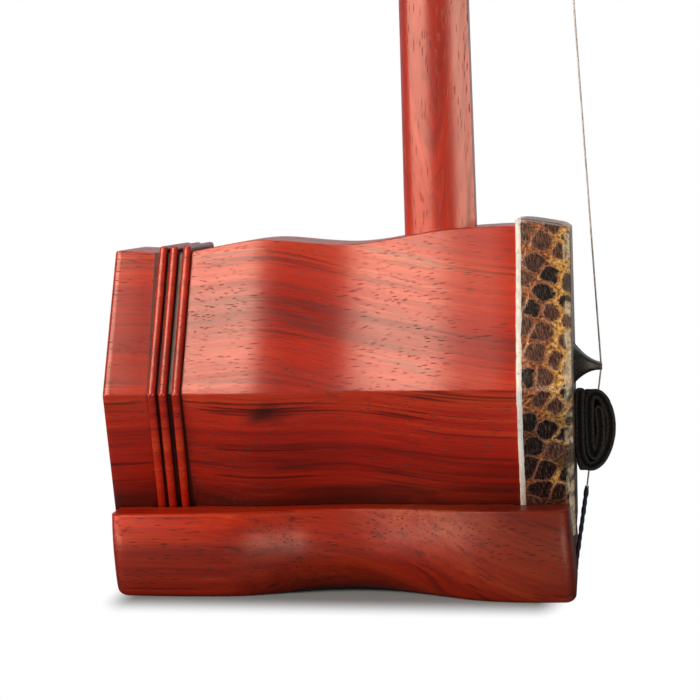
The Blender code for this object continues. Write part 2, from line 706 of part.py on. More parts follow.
def bridge(box):
    """Flared foot on the skin, rising to a narrow crown with two string notches."""
    foot_x = SKIN_FRONT + GAP
    rings = []
    for t in between(0, 1, 9):
        flare = (1 - t) ** 2.0
        half_y = BRIDGE_CROWN[0] + (BRIDGE_FOOT[0] - BRIDGE_CROWN[0]) * flare
        half_z = BRIDGE_CROWN[1] + (BRIDGE_FOOT[1] - BRIDGE_CROWN[1]) * flare
        middle = BRIDGE_FOOT_CENTRE + (BRIDGE_NOTCH.z - BRIDGE_FOOT_CENTRE) * t
        ring = []
        for i in range(20):
            turn = math.tau * (i + 0.5) / 20
            c, s = math.cos(turn), math.sin(turn)
            y = half_y * math.copysign(abs(c) ** 0.6, c)
            z = middle + half_z * math.copysign(abs(s) ** 0.8, s)
            ring.append((foot_x + (BRIDGE_TIP - foot_x) * t, y, z))
        rings.append(ring)
    body = loft("bridge", rings, box, BLACK_HORN)
    for name, side in (("inner", -1), ("outer", 1)):
        y = side * STRING_SPACING / 2
        half = INNER_STRING_RADIUS + GAP
        corners = [(y - half, -4 * MM), (y + half, -4 * MM), (y + half, 9 * MM), (y - half, 9 * MM)]
        ends = (BRIDGE_NOTCH.x - half, BRIDGE_TIP + 2 * MM)
        cut(body, loft(f"{name}_notch", [[(x, py, pz) for py, pz in corners] for x in ends], box))
    return body


def damper(box):
    """Rolled pad wedged between the strings and the skin, pinched where the strings cross it."""
    slope = (SILK_START.x - BRIDGE_NOTCH.x) / (SILK_START.z - BRIDGE_NOTCH.z)
    clearance = INNER_STRING_RADIUS + 2 * GAP
    half = DAMPER_HALF_LENGTH
    rings = []
    for y in (-half, -half + 0.6 * MM, -11 * MM, -8 * MM, -5.5 * MM, -3.6 * MM, -1.2 * MM):
        pinch = 1 - smooth_step(abs(y), 3.4 * MM, 10.5 * MM)
        ease = 0.5 * MM if y == -half else 0.0
        ring = []
        for px, pz in DAMPER_OUTLINE:
            x, z = px * MM, pz * MM
            limit = BRIDGE_NOTCH.x + slope * (z - BRIDGE_NOTCH.z) - clearance
            x = min(x, x + (limit - x) * pinch)
            x += (DAMPER_MIDDLE.x - x) * ease / (6 * MM)
            z += (DAMPER_MIDDLE.z - z) * ease / (12 * MM)
            ring.append((x, y, z))
        rings.append(ring)
    rings += [[(x, -y, z) for x, y, z in ring] for ring in reversed(rings)]
    sagged = [[(x, y, z - DAMPER_SAG * (y + half)) for x, y, z in ring] for ring in rings]
    return loft("damper", sagged, box, FELT)


def hook_rings(radius, half_length, ease):
    rings = []
    for y, r in (
        (-half_length, radius - ease),
        (-half_length + ease, radius),
        (half_length - ease, radius),
        (half_length, radius - ease),
    ):
        turns = [math.tau * i / 16 for i in range(16)]
        rings.append([HOOK_CENTRE + Vector((r * math.cos(a), y, r * math.sin(a))) for a in turns])
    return rings


def string_hook():
    """Pin across the notch in the base's front edge."""
    return loft("string_hook", hook_rings(HOOK_RADIUS, HOOK_HALF_LENGTH, 0.3 * MM), None, BRASS)


def build():
    clear_scene()
    box = frame_empty("box_frame", None, BOX)
    neck = frame_empty("neck_frame", box, NECK)
    staves = {name: stave(name, turn, box) for name, turn in STAVES.items()}
    base(neck)
    neck_rod(neck)
    through = []
    for height in (20 * MM, 60 * MM):
        through.append([(x, y, height) for x, y in neck_ring(*neck_size(height), GAP)])
    cut(staves["stave_top"], loft("neck_way", through, neck))
    cut(staves["stave_bottom"], cylinder_z("tenon_way", neck, TENON_RADIUS + GAP, -60 * MM, -20 * MM))
    for i, centre in enumerate(BEAD_CENTRES, 1):
        trim_ring(f"trim_ring_{i}", centre, box)
    edge_strip(box)
    python_skin(box)
    rear_window(box)
    head_cap(neck)
    neck_bolt(neck)
    pegs = (
        ("inner", -1, INNER_PEG_HEIGHT, INNER_TIP_RADIUS, INNER_WINDING, INNER_STRING_RADIUS),
        ("outer", 1, OUTER_PEG_HEIGHT, OUTER_TIP_RADIUS, OUTER_WINDING, OUTER_STRING_RADIUS),
    )
    for name, side, height, tip_radius, ends, string_radius in pegs:
        axis = frame_empty(f"{name}_peg_axis", neck, Matrix.Translation((0, 0, height)))
        peg(f"{name}_peg", axis, tip_radius)
        peg_button(f"{name}_peg_button", axis)
        winding(f"{name}_string_winding", axis, ends, tip_radius, string_radius)
        string(f"{name}_string", side, string_radius, height, ends, tip_radius, box)
        silk_end(f"{name}_string_silk", side)
    qianjin(neck)
    bridge(box)
    damper(box)
    string_hook()
    bpy.context.view_layer.update()


build()
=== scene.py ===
"""The looks of an erhu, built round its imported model.

Metres. +Z up, +X towards the skin, -Y towards the camera. A piece is modelled in the frame of the box,
the neck or its peg, which its object's matrix carries, so that its material's object coordinates follow
the grain of the wood.
"""

import json
import math

import bmesh
import bpy
import numpy as np
from mathutils import Matrix, Vector, geometry, noise


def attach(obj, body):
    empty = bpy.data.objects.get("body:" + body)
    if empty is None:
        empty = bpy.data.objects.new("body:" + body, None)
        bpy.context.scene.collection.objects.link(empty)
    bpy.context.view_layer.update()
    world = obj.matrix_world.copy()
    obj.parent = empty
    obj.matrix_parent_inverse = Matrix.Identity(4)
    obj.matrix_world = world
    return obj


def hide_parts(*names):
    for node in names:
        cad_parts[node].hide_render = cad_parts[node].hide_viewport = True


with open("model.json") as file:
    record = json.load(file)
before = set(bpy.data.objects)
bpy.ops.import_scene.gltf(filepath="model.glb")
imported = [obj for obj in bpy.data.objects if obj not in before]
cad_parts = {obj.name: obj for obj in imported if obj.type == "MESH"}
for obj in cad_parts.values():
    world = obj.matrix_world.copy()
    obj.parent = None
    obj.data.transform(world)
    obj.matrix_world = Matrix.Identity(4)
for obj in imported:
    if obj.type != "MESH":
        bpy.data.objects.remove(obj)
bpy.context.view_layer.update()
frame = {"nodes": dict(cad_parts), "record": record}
BODIES = {node: body for body, nodes in frame["record"]["behaviour"]["bodies"].items() for node in nodes}

MM = 0.001
GAP = 0.3 * MM
TAN_30 = math.tan(math.radians(30))

# Frames of the box and the neck, as in the model.
BOX_HEIGHT = 57.4 * MM
BOX_TILT = math.radians(1.44)
NECK_OFFSET = 27.56 * MM
NECK_TILT = math.radians(0.48)
WORLD = Matrix()
BOX = Matrix.Translation((0, 0, BOX_HEIGHT)) @ Matrix.Rotation(-BOX_TILT, 4, "Y")
NECK = BOX @ Matrix.Translation((NECK_OFFSET, 0, 0)) @ Matrix.Rotation(-NECK_TILT, 4, "Y")

# Sound box: (distance along the box, half the width across the flats), in millimetres.
BOX_BACK = -65.2 * MM
STAVE_END = 63.8 * MM
WALL = 4.6 * MM
RIDGE_RADIUS = 0.5 * MM
STAVE_SEAM = 0.01 * MM
STAVE_STEPS = 120
GLUE_LINE = 0.05 * MM
BOX_PROFILE = [
    (-68.0, 39.8), (-57.0, 39.2), (-50.0, 38.6), (-43.0, 38.8), (-34.0, 40.4), (-25.0, 41.7),
    (-18.5, 41.7), (-8.5, 40.6), (1.0, 39.9), (9.0, 40.4), (18.8, 41.9), (28.5, 43.3),
    (39.0, 43.9), (50.0, 44.1), (64.0, 42.3),
]
STAVES = {
    "stave_top": 90,
    "stave_upper_far": 30,
    "stave_lower_far": -30,
    "stave_bottom": -90,
    "stave_lower_near": -150,
    "stave_upper_near": 150,
}
BEAD_CENTRES = (-51.4 * MM, -48.3 * MM, -44.6 * MM)
BEAD_HALF_WIDTH = 1.2 * MM
BEAD_TOP = 40.6 * MM

# Skin, the white strip at its edge, and the window in the back.
EDGE_STRIP = (49.7 * MM, 51.5 * MM)
EDGE_STRIP_OUTER = 46.0 * MM
SKIN_BAND_START = 51.2 * MM
SKIN_FRONT = 65.0 * MM
SKIN_THICKNESS = 0.8 * MM
SKIN_OUTER = [(51.3, 46.0), (53.5, 45.9), (58.0, 45.2), (63.0, 44.2), (64.5, 43.6)]
SKIN_CORNER_RADIUS = 3.0 * MM
SKIN_INNER_RADIUS = 1.4 * MM
SKIN_RIM_RADIUS = 1.1 * MM
SCALE_SIZE = (6.6 * MM, 5.9 * MM)
SCALE_ROWS_TURN = math.radians(24)
SCALE_SCATTER = 0.42
SCALE_HALF_SIZE = 0.54
WINDOW_START = -58.5 * MM
WINDOW_THICKNESS = 3.0 * MM
WINDOW_HOLE_RADIUS = 5.6 * MM
WINDOW_HOLE_PITCH = 13.4 * MM
WINDOW_CHAMFER = 0.8 * MM

# Base: (along X, half width of the foot, half width at the belly), in millimetres.
BASE_STATIONS = [
    (-66.0, 44.6, 46.2), (-52.0, 45.2, 47.2), (-38.0, 44.9, 47.2), (-27.0, 42.8, 46.0),
    (-16.7, 35.4, 43.0), (-8.0, 27.2, 40.2), (2.0, 22.8, 39.0), (10.6, 24.0, 39.6),
    (19.5, 30.4, 41.8), (28.4, 38.4, 45.0), (37.0, 44.8, 48.4), (46.0, 47.9, 50.0),
    (56.0, 48.0, 50.2), (68.0, 46.6, 49.2),
]
BASE_BACK = -62.3 * MM
BASE_FRONT = 65.5 * MM
BASE_SHEAR = 0.09
BASE_BELLY_HEIGHT = 11.5 * MM
BASE_RIM_HEIGHT = 24.0 * MM
BASE_RIM_RISE = 0.024
BASE_LEAN = 2.2 * MM
BASE_EDGE = 1.1 * MM
BASE_END_RADIUS = 3.2 * MM
BEAD_CHANNEL = (-54.5 * MM, -41.5 * MM)
SKIN_CHANNEL = 48.6 * MM
HOOK_RECESS = 5.0 * MM
HOOK_RECESS_SIZE = (5.5 * MM, 10.0 * MM)

# Neck: (height up the neck, depth front to back, width), in millimetres.
NECK_SECTIONS = [
    (-40.0, 20.8, 16.8), (43.0, 20.8, 16.8), (109.0, 20.1, 16.5), (420.0, 19.2, 15.8), (700.0, 18.0, 15.0),
]
NECK_FOOT = -36.2 * MM
TENON_RADIUS = 7.0 * MM
TENON_END = -47.3 * MM
HEAD_START = 690.0 * MM
HEAD_BEND_RADIUS = 58.0 * MM
HEAD_BEND = math.radians(68)
HEAD_END_DEPTH = 15.5 * MM
HEAD_END_WIDTH = 13.0 * MM
BOLT_RADIUS = 2.5 * MM
BOLT_TOP = -22.0 * MM
BOLT_SEAT = -51.3 * MM
COUNTERBORE_RADIUS = 8.5 * MM

# Pegs: (distance along the peg, radius), in millimetres.
PEG_PROFILE = [
    (-118.0, 9.6), (-117.0, 11.6), (-113.5, 12.8), (-108.0, 12.9), (-96.0, 11.8), (-80.0, 10.1),
    (-62.0, 8.3), (-46.0, 6.9), (-37.0, 6.3), (-34.0, 6.6), (-32.5, 7.6), (-30.0, 7.6),
    (-28.5, 6.4), (-24.0, 5.0), (-14.0, 4.5),
]
PEG_FLUTES = 8
PEG_FLUTE_ENDS = (-112.0 * MM, -39.0 * MM)
PEG_FLUTE_DEPTH = 0.09
PEG_BORE_RADIUS = 4.3 * MM
PEG_GRIP = 10.5 * MM
PEG_TIP = 34.0 * MM
BUTTON_RADIUS = 4.6 * MM
BUTTON_HEIGHT = 2.6 * MM
WINDING_TURNS = 6

# Each string: side of the centre line, its radius, and its peg's height, thin end and winding.
STRINGS = {
    "inner": (-1, 0.25 * MM, 662.0 * MM, 3.5 * MM, (18.0 * MM, 23.0 * MM)),
    "outer": (1, 0.17 * MM, 582.0 * MM, 2.7 * MM, (13.5 * MM, 19.0 * MM)),
}
STRING_SPACING = 4.0 * MM
BRIDGE_NOTCH = Vector((72.8, 0.0, 2.6)) * MM
SILK_START = Vector((68.0, 0.0, -32.4)) * MM
SILK_RADIUS = 0.62 * MM
SILK_TWIST = 2.6 * MM
SILK_LUMPS = 5.3 * MM
STRING_SLOPE = -0.0557
LOOP_HEIGHT = 412.0 * MM
LOOP_BAND = 7.0 * MM
THREAD_RADIUS = 0.33 * MM
THREAD_TURNS = 11
HOOK_RADIUS = 1.1 * MM
HOOK_HALF_LENGTH = 8.5 * MM
HOOK_CENTRE = Vector((64.0, 0.0, 3.4)) * MM

# Bridge, with (half width, half height) of its foot and crown, and how far it presses the skin in.
BRIDGE_DENT = 0.15 * MM
BRIDGE_FOOT_CENTRE = 3.75 * MM
BRIDGE_TIP = 73.1 * MM
BRIDGE_FOOT = (8.6 * MM, 5.9 * MM)
BRIDGE_CROWN = (4.6 * MM, 1.0 * MM)
BRIDGE_ARCH = (2.3 * MM, 3.4 * MM)

# Damper: the middle line of the rolled felt strip, (x, z) in the box frame, in millimetres.
FELT_THICKNESS = 2.7 * MM
FELT_HALF_LENGTH = 14.0 * MM
FELT_SAG = 0.08
FELT_PATH = [
    (66.7, -3.9), (66.4, -8.0), (66.4, -14.0), (66.45, -19.5), (67.2, -23.2), (69.3, -25.0),
    (72.0, -23.6), (74.0, -20.2), (75.1, -16.0), (75.2, -11.8), (74.3, -8.0), (72.7, -5.2),
    (70.7, -4.3), (69.4, -6.0), (69.15, -10.0), (69.2, -15.0), (69.5, -20.0), (70.6, -22.0),
    (71.7, -19.6), (72.3, -16.0), (72.3, -12.5), (71.9, -9.0),
]
FELT_BACK = 65.05 * MM
FELT_FRONT = 76.6 * MM


# Small geometry


def spline(points, x):
    """Catmull-Rom value at x of a curve through (x, value) points, both in millimetres."""
    x /= MM
    last = len(points) - 2
    i = min(max(sum(p[0] <= x for p in points) - 1, 0), last)
    (x0, y0), (x1, y1) = points[i], points[i + 1]
    before, after = points[max(i - 1, 0)], points[min(i + 2, last + 1)]
    m0 = (y1 - before[1]) / (x1 - before[0]) * (x1 - x0)
    m1 = (after[1] - y0) / (after[0] - x0) * (x1 - x0)
    t = (x - x0) / (x1 - x0)
    value = (2 * t**3 - 3 * t**2 + 1) * y0 + (t**3 - 2 * t**2 + t) * m0
    value += (3 * t**2 - 2 * t**3) * y1 + (t**3 - t**2) * m1
    return value * MM


def both(stations, x):
    """The two values at x of curves through (x, first, second) stations."""
    return [spline([(station[0], station[i]) for station in stations], x) for i in (1, 2)]


def box_width(x):
    """Half the width of the box across the flats at x, its curve smoothed."""
    return sum(spline(BOX_PROFILE, x + shift * MM) for shift in (-3, -1.5, 0, 1.5, 3)) / 5


def smooth_step(value, low, high):
    t = min(max((value - low) / (high - low), 0.0), 1.0)
    return t * t * (3 - 2 * t)


def between(low, high, steps):
    return [low + (high - low) * i / steps for i in range(steps + 1)]


def arc(start, end, steps):
    """(cosine, sine) at even steps between two angles in degrees."""
    turns = [math.radians(angle) for angle in between(start, end, steps)]
    return [(math.cos(turn), math.sin(turn)) for turn in turns]


def circle(count, phase=0.0):
    """(cosine, sine) at even steps once round, the first one phase of a step on."""
    turns = [math.tau * (i + phase) / count for i in range(count)]
    return [(math.cos(turn), math.sin(turn)) for turn in turns]


def squared(value, power):
    """A cosine or sine pushed outwards, which turns a circle into a rounded square."""
    return math.copysign(abs(value) ** power, value)


def smooth_path(points, steps):
    """Points of a Catmull-Rom curve through the given vectors."""
    path = []
    for i in range(len(points) - 1):
        a, b, c, d = (Vector(points[min(max(i + k, 0), len(points) - 1)]) for k in (-1, 0, 1, 2))
        for step in range(steps):
            t = step / steps
            point = 2 * b + (c - a) * t + (2 * a - 5 * b + 4 * c - d) * t**2
            point += (3 * b - 3 * c + d - a) * t**3
            path.append(0.5 * point)
    return path + [Vector(points[-1])]


def roughly(place, seed, size):
    """Smooth noise from -1 to 1 that changes over the given size."""
    return noise.noise(Vector(place) / size + Vector((seed * 17.3, seed * 5.1, seed * 9.7)))


def hexagon(half_width, corner_radius, corner_steps, flat_steps):
    """(y, z) round a hexagon with flats above and below and rounded corners."""
    centre = (half_width - corner_radius) / math.cos(math.radians(30))
    corners = []
    for corner in range(6):
        middle = math.radians(60 * corner)
        cy, cz = centre * math.cos(middle), centre * math.sin(middle)
        turns = [middle + math.radians(a) for a in between(-30, 30, corner_steps)]
        corners.append([(cy + corner_radius * math.cos(a), cz + corner_radius * math.sin(a)) for a in turns])
    points = []
    for i, rounded in enumerate(corners):
        points += rounded
        (y0, z0), (y1, z1) = rounded[-1], corners[(i + 1) % 6][0]
        points += [(y0 + (y1 - y0) * t, z0 + (z1 - z0) * t) for t in between(0, 1, flat_steps)[1:-1]]
    return points


def loft(rings, wrap=False):
    """Points and faces of rings of equal length; the ends are capped, or joined with wrap."""
    rings = np.array([[tuple(p) for p in ring] for ring in rings], float)
    count, size = rings.shape[:2]
    here = np.arange(count if wrap else count - 1)[:, None]
    there = (here + 1) % count
    along = np.arange(size)[None]
    beyond = (along + 1) % size
    corners = [here * size + along, here * size + beyond, there * size + beyond, there * size + along]
    faces = np.stack(corners, -1).reshape(-1, 4).tolist()
    if not wrap:
        faces.append(list(range(size)))
        faces.append(list(range((count - 1) * size, count * size)))
    return rings.reshape(-1, 3), faces


def joined(shapes):
    """Several (points, faces) as one."""
    points, faces, start = [], [], 0
    for some, sides in shapes:
        points.append(some)
        faces += [[start + i for i in face] for face in sides]
        start += len(some)
    return np.concatenate(points), faces


def tube(path, radius, segments, closed=False):
    """A round rod along a path; radius is a number, or a function of (distance along, turn)."""
    path = [Vector(p) for p in path]
    count = len(path)
    rings, travelled = [], 0.0
    ahead = (path[1] - path[0]).normalized()
    side = ahead.orthogonal().normalized()
    for i, point in enumerate(path):
        after = path[(i + 1) % count] if closed else path[min(i + 1, count - 1)]
        before = path[i - 1] if closed or i else path[0]
        ahead = (after - before).normalized()
        side = (side - ahead * side.dot(ahead)).normalized()
        up = ahead.cross(side)
        travelled += (point - path[i - 1]).length if i else 0.0
        ring = []
        for k in range(segments):
            turn = math.tau * k / segments
            r = radius(travelled, turn) if callable(radius) else radius
            ring.append(point + r * (side * math.cos(turn) + up * math.sin(turn)))
        rings.append(ring)
    return loft(rings, wrap=closed)


def turned(profile, segments, centre=(0, 0, 0), axis="X", radius=None):
    """A shape turned about X or Z from (distance along, radius) points.

    radius, where it is given, is a function of (distance along, radius, turn) that reshapes the rings.
    """
    rings = []
    for along, r in profile:
        ring = []
        for i in range(segments):
            turn = math.tau * i / segments
            reach = radius(along, r, turn) if radius else r
            a, b = reach * math.cos(turn), reach * math.sin(turn)
            place = (along, a, b) if axis == "X" else (a, b, along)
            ring.append(Vector(place) + Vector(centre))
        rings.append(ring)
    return loft(rings)


def rod(start, end, radius, segments, centre=(0, 0, 0), axis="Z"):
    """A plain round rod between two distances along its axis."""
    return turned([(start, radius), (end, radius)], segments, centre, axis)


def make_mesh(name, points, faces):
    """A new object in the scene, its faces all turned outwards."""
    mesh = bpy.data.meshes.new(name)
    mesh.from_pydata([tuple(p) for p in points], [], faces)
    shape = bmesh.new()
    shape.from_mesh(mesh)
    bmesh.ops.recalc_face_normals(shape, faces=shape.faces)
    shape.to_mesh(mesh)
    shape.free()
    obj = bpy.data.objects.new(name, mesh)
    bpy.context.scene.collection.objects.link(obj)
    return obj


def carve(obj, shapes, operation="DIFFERENCE"):
    """Cuts each (points, faces) shape from the object, or joins it on, and keeps the result."""
    cutters = [make_mesh(f"{obj.name}_cutter_{i}", *shape) for i, shape in enumerate(shapes)]
    for cutter in cutters:
        boolean = obj.modifiers.new(cutter.name, "BOOLEAN")
        boolean.operation = operation
        boolean.solver = "EXACT"
        boolean.object = cutter
    graph = bpy.context.evaluated_depsgraph_get()
    result = bpy.data.meshes.new_from_object(obj.evaluated_get(graph))
    obj.modifiers.clear()
    obj.data = result
    for cutter in cutters:
        bpy.data.objects.remove(cutter, do_unlink=True)


def store(obj, name, values):
    """Keeps a number, or a vector, for each point, for a material to read by name."""
    values = np.array(values, np.float32)
    kind, key = ("FLOAT", "value") if values.ndim == 1 else ("FLOAT_VECTOR", "vector")
    obj.data.attributes.new(name, kind, "POINT").data.foreach_set(key, values.ravel())


def finish_piece(obj, node, look, matrix=WORLD, crease=38):
    """Shades the piece, gives it its material and place, and lets it stand for its node."""
    obj.data.shade_smooth()
    obj.data.set_sharp_from_angle(angle=math.radians(crease))
    obj.data.materials.clear()
    obj.data.materials.append(look)
    obj.matrix_world = matrix
    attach(obj, BODIES[node])
    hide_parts(node)
    return obj


def piece(node, shape, look, matrix=WORLD, crease=38):
    """A finished piece straight from its points and faces."""
    return finish_piece(make_mesh(f"{node}_look", *shape), node, look, matrix, crease)


# Materials


class Nodes:
    """A tree of shader nodes, with short calls for the kinds used below."""

    def __init__(self, tree):
        self.tree = tree
        self.coordinates = self.node("TexCoord").outputs
        self.place = self.coordinates["Object"]

    def node(self, kind, inputs=(), **settings):
        made = self.tree.nodes.new("ShaderNode" + kind)
        for key, value in settings.items():
            setattr(made, key, value)
        for key, value in dict(inputs).items():
            self.put(made.inputs[key], value)
        return made

    def put(self, socket, value):
        if isinstance(value, bpy.types.NodeSocket):
            self.tree.links.new(value, socket)
        else:
            socket.default_value = value

    def turn(self, vector, rotation, offset=(0, 0, 0)):
        inputs = {"Vector": vector, "Rotation": rotation, "Location": offset}
        return self.node("Mapping", inputs).outputs["Vector"]

    def scaled(self, vector, scale):
        return self.node("VectorMath", {0: vector, 1: scale}, operation="MULTIPLY").outputs[0]

    def added(self, vector, other):
        return self.node("VectorMath", {0: vector, 1: other}, operation="ADD").outputs[0]

    def noise(self, vector, scale, detail=2.0, roughness=0.5, output="Fac"):
        inputs = {"Vector": self.scaled(vector, scale), "Scale": 1.0}
        inputs |= {"Detail": detail, "Roughness": roughness}
        return self.node("TexNoise", inputs).outputs[output]

    def cells(self, vector, scale, feature="F1", randomness=1.0, space="3D"):
        inputs = {"Vector": self.scaled(vector, scale), "Scale": 1.0, "Randomness": randomness}
        return self.node("TexVoronoi", inputs, feature=feature, voronoi_dimensions=space).outputs

    def math(self, operation, a, b=0.0):
        return self.node("Math", {0: a, 1: b}, operation=operation).outputs[0]

    def times(self, a, b):
        return self.math("MULTIPLY", a, b)

    def plus(self, a, b):
        return self.math("ADD", a, b)

    def minus(self, a, b):
        return self.math("SUBTRACT", a, b)

    def swing(self, value, size):
        """A noise value as a swing of half the size either way."""
        return self.times(self.minus(value, 0.5), size)

    def centred(self, colour, size):
        """A noise colour as an offset of half the size either way."""
        return self.scaled(self.added(colour, (-0.5, -0.5, -0.5)), size)

    def length(self, vector):
        return self.node("VectorMath", {0: vector}, operation="LENGTH").outputs["Value"]

    def vector(self, x=0.0, y=0.0, z=0.0):
        return self.node("CombineXYZ", {0: x, 1: y, 2: z}).outputs[0]

    def band(self, value, low, high, start=0.0, end=1.0):
        """start below low, end above high, and a smooth change between."""
        inputs = {"Value": value, "From Min": low, "From Max": high, "To Min": start, "To Max": end}
        return self.node("MapRange", inputs, interpolation_type="SMOOTHSTEP").outputs[0]

    def mixed(self, factor, a, b):
        """Colour a where factor is 0, b where it is 1."""
        return self.node("Mix", {0: factor, 6: a, 7: b}, data_type="RGBA").outputs[2]

    def ramp(self, value, stops):
        made = self.node("ValToRGB", {0: value})
        elements = made.color_ramp.elements
        while len(elements) < len(stops):
            elements.new(0.5)
        for element, (position, colour) in zip(elements, stops):
            element.position = position
            element.color = (*colour, 1.0)
        return made.outputs[0]

    def bump(self, height, distance, strength):
        inputs = {"Height": height, "Distance": distance, "Strength": strength}
        return self.node("Bump", inputs).outputs["Normal"]

    def axis(self, number, vector=None):
        return self.node("SeparateXYZ", {0: vector or self.place}).outputs[number]

    def stored(self, name, output="Fac"):
        return self.node("Attribute", attribute_name=name).outputs[output]

    def weighed(self, *pairs):
        """The sum of (value, weight) pairs."""
        total = self.times(*pairs[0])
        for value, weight in pairs[1:]:
            total = self.plus(total, self.times(value, weight))
        return total


class Shader(Nodes):
    """A material's nodes."""

    def __init__(self, name):
        self.material = bpy.data.materials.new(name)
        self.material.use_nodes = True
        super().__init__(self.material.node_tree)
        self.surface = self.tree.nodes["Principled BSDF"]

    def finish(self, **inputs):
        for key, value in inputs.items():
            self.put(self.surface.inputs[key.replace("_", " ")], value)
        return self.material


def rgb(*colour):
    return (*colour, 1.0)


ROSEWOOD = ((0.12, 0.005, 0.002), (0.33, 0.011, 0.003), (0.50, 0.018, 0.004), (0.64, 0.055, 0.012))
# Darker rosewood: the pegs' and window's tone, and painted shade on the boards that face down.
DEEP_AND_SHADED_ROSEWOOD = ((0.11, 0.005, 0.003), (0.27, 0.010, 0.004), (0.43, 0.019, 0.005), (0.57, 0.048, 0.011))
ORANGE_ROSEWOOD = ((0.26, 0.008, 0.002), (0.46, 0.018, 0.004), (0.64, 0.040, 0.007), (0.80, 0.110, 0.024))
TONE_STOPS = (0.34, 0.45, 0.54, 0.66)
PORE_COLOUR = rgb(0.05, 0.006, 0.004)
LINE_COLOUR = rgb(0.040, 0.005, 0.004)
# Dark colour of the knot, and of painted shade by the beads and low on the boards and base.
STAIN_AND_SHADE_COLOUR = rgb(0.030, 0.003, 0.002)


ALONG_Z = (0, math.radians(90), 0)


def wood(
    name, seed, tones=ROSEWOOD, turn=(0, 0, 0), wander=0.5 * MM, lines=0.5,
    heart=None, stains_and_shade=(), run=6, shine=0.7, pored=0.9, laid=None,
):
    """Lacquered rosewood, its grain along the turned X axis.

    wander is how far the grain strays, lines how dark its fine lines are, pored how dark its pores are,
    and a higher run shortens its streaks. laid straightens a bent piece, and heart bends the grain. Each
    darkening given mixes in dark colour; the knot is dark wood, and the rest is painted shade, on the base
    only in part.
    """
    s = Shader(name)
    if laid:
        s.place = laid(s)
    place = s.turn(s.place, turn, (seed * 0.31, seed * 0.17, seed * 0.23))
    drift = s.noise(place, (9, 26, 26), 1.0, output="Color")
    drift = s.centred(drift, (wander, wander * 2, wander * 2))
    grain = s.added(heart(s, turn) if heart else place, drift)
    broad = s.noise(grain, (5, 45, 45), 1.0)
    streaks = s.noise(grain, (run, 420, 420), 4.0, 0.6)
    fibres = s.noise(grain, (50, 2600, 2600), 2.0, 0.6)
    tone = s.weighed((broad, 0.46), (streaks, 0.36), (fibres, 0.18))
    colour = s.ramp(tone, list(zip(TONE_STOPS, tones)))
    line = s.band(s.noise(grain, (run, 620, 620), 3.0, 0.55), 0.56, 0.68, 0.0, lines)
    colour = s.mixed(line, colour, LINE_COLOUR)
    spots = s.cells(s.added(place, s.scaled(drift, (0.4, 0.4, 0.4))), (160, 1800, 1800))
    crowd = s.band(s.noise(place, (30, 90, 90), 1.0), 0.38, 0.58, 0.35, 1.0)
    pores = s.times(s.band(spots["Distance"], 0.16, 0.26, 1.0, 0.0), crowd)
    pores = s.times(pores, pored)
    colour = s.mixed(pores, colour, PORE_COLOUR)
    dull = s.times(pores, 0.55)
    # Each darkening mixes in dark colour: the knot is dark wood, the others are painted shade, the base's in
    # part.
    for darkening in stains_and_shade:
        amount = darkening(s)
        colour = s.mixed(amount, colour, STAIN_AND_SHADE_COLOUR)
        dull = s.plus(dull, s.times(amount, 0.12))
    height = s.minus(s.times(fibres, 0.08), pores)
    return s.finish(
        Base_Color=colour,
        Roughness=s.plus(dull, s.band(streaks, 0.3, 0.7, 0.32, 0.26)),
        Normal=s.bump(height, 0.08 * MM, 0.5),
        Specular_IOR_Level=shine,
    )


def dark_knot(centre, size):
    """A small knot with a soft halo drawn out along the grain."""

    def darkening(s):
        offset = s.added(s.place, tuple(-c for c in centre))
        ragged = s.noise(s.place, (160, 260, 260), 3.0, output="Color")
        offset = s.added(offset, s.centred(ragged, (size * 1.6,) * 3))
        reach = s.length(s.scaled(offset, (0.55, 1, 1)))
        return s.band(reach, size * 0.15, size * 1.5, 0.9, 0.0)

    return darkening


def bead_groove_shade(s):
    """Painted shade in the grooves where the three beads stand on a board."""
    margin = BEAD_HALF_WIDTH + 0.2 * MM
    fade = 0.3 * MM
    along = s.axis(0)
    first, last = BEAD_CENTRES[0] - margin, BEAD_CENTRES[2] + margin
    start = s.band(along, first - fade, first, 0.0, 0.9)
    return s.times(start, s.band(along, last, last + fade, 1.0, 0.0))


def bead_side_shade(s):
    """Painted shade low on the sides of a bead, towards the grooves between beads."""
    return s.band(s.stored("rise"), 0.25, 0.80, 0.95, 0.0)


def darker_below(s):
    """Painted shade towards the lower edge of a board, where it meets the base, broken into streaks."""
    streaks = s.noise(s.place, (7, 260, 260), 3.0, 0.6)
    height = s.plus(s.axis(2), s.swing(streaks, 16 * MM))
    return s.band(height, -35 * MM, -20 * MM, 0.92, 0.0)


def darker_base(s):
    """Darker towards the base's front end, and painted shade low down towards its back, where the base turns
    under.
    """
    ragged = s.minus(s.noise(s.place, (14, 60, 160), 3.0, 0.6), 0.5)
    slant = s.plus(s.axis(0), s.times(s.axis(2), 1.2))
    slant = s.plus(slant, s.times(ragged, 40 * MM))
    front = s.band(slant, -50 * MM, 95 * MM, 0.0, 0.76)
    height = s.plus(s.axis(2), s.times(ragged, 9 * MM))
    # Painted shade below the belly, where the base turns under towards the floor.
    low = s.band(height, 11 * MM, 20 * MM, 0.56, 0.0)
    low = s.times(low, s.band(s.axis(0), 5 * MM, 60 * MM, 1.0, 0.1))
    return s.math("MAXIMUM", front, low)


def cathedral(s, turn):
    """Tapering growth rings round the middle of the neck, which its sides cut into nested arches."""
    place = s.turn(s.place, turn)
    bend = s.noise(place, (38, 190, 190), 2.0, output="Color")
    bend = s.centred(bend, (0.0, 3.2 * MM, 3.2 * MM))
    across = s.scaled(s.added(place, bend), (0, 1, 1))
    ring = s.length(across)
    along = s.axis(0, place)
    ring = s.minus(ring, s.times(along, 0.057))
    return s.vector(along, s.times(ring, 1.5))


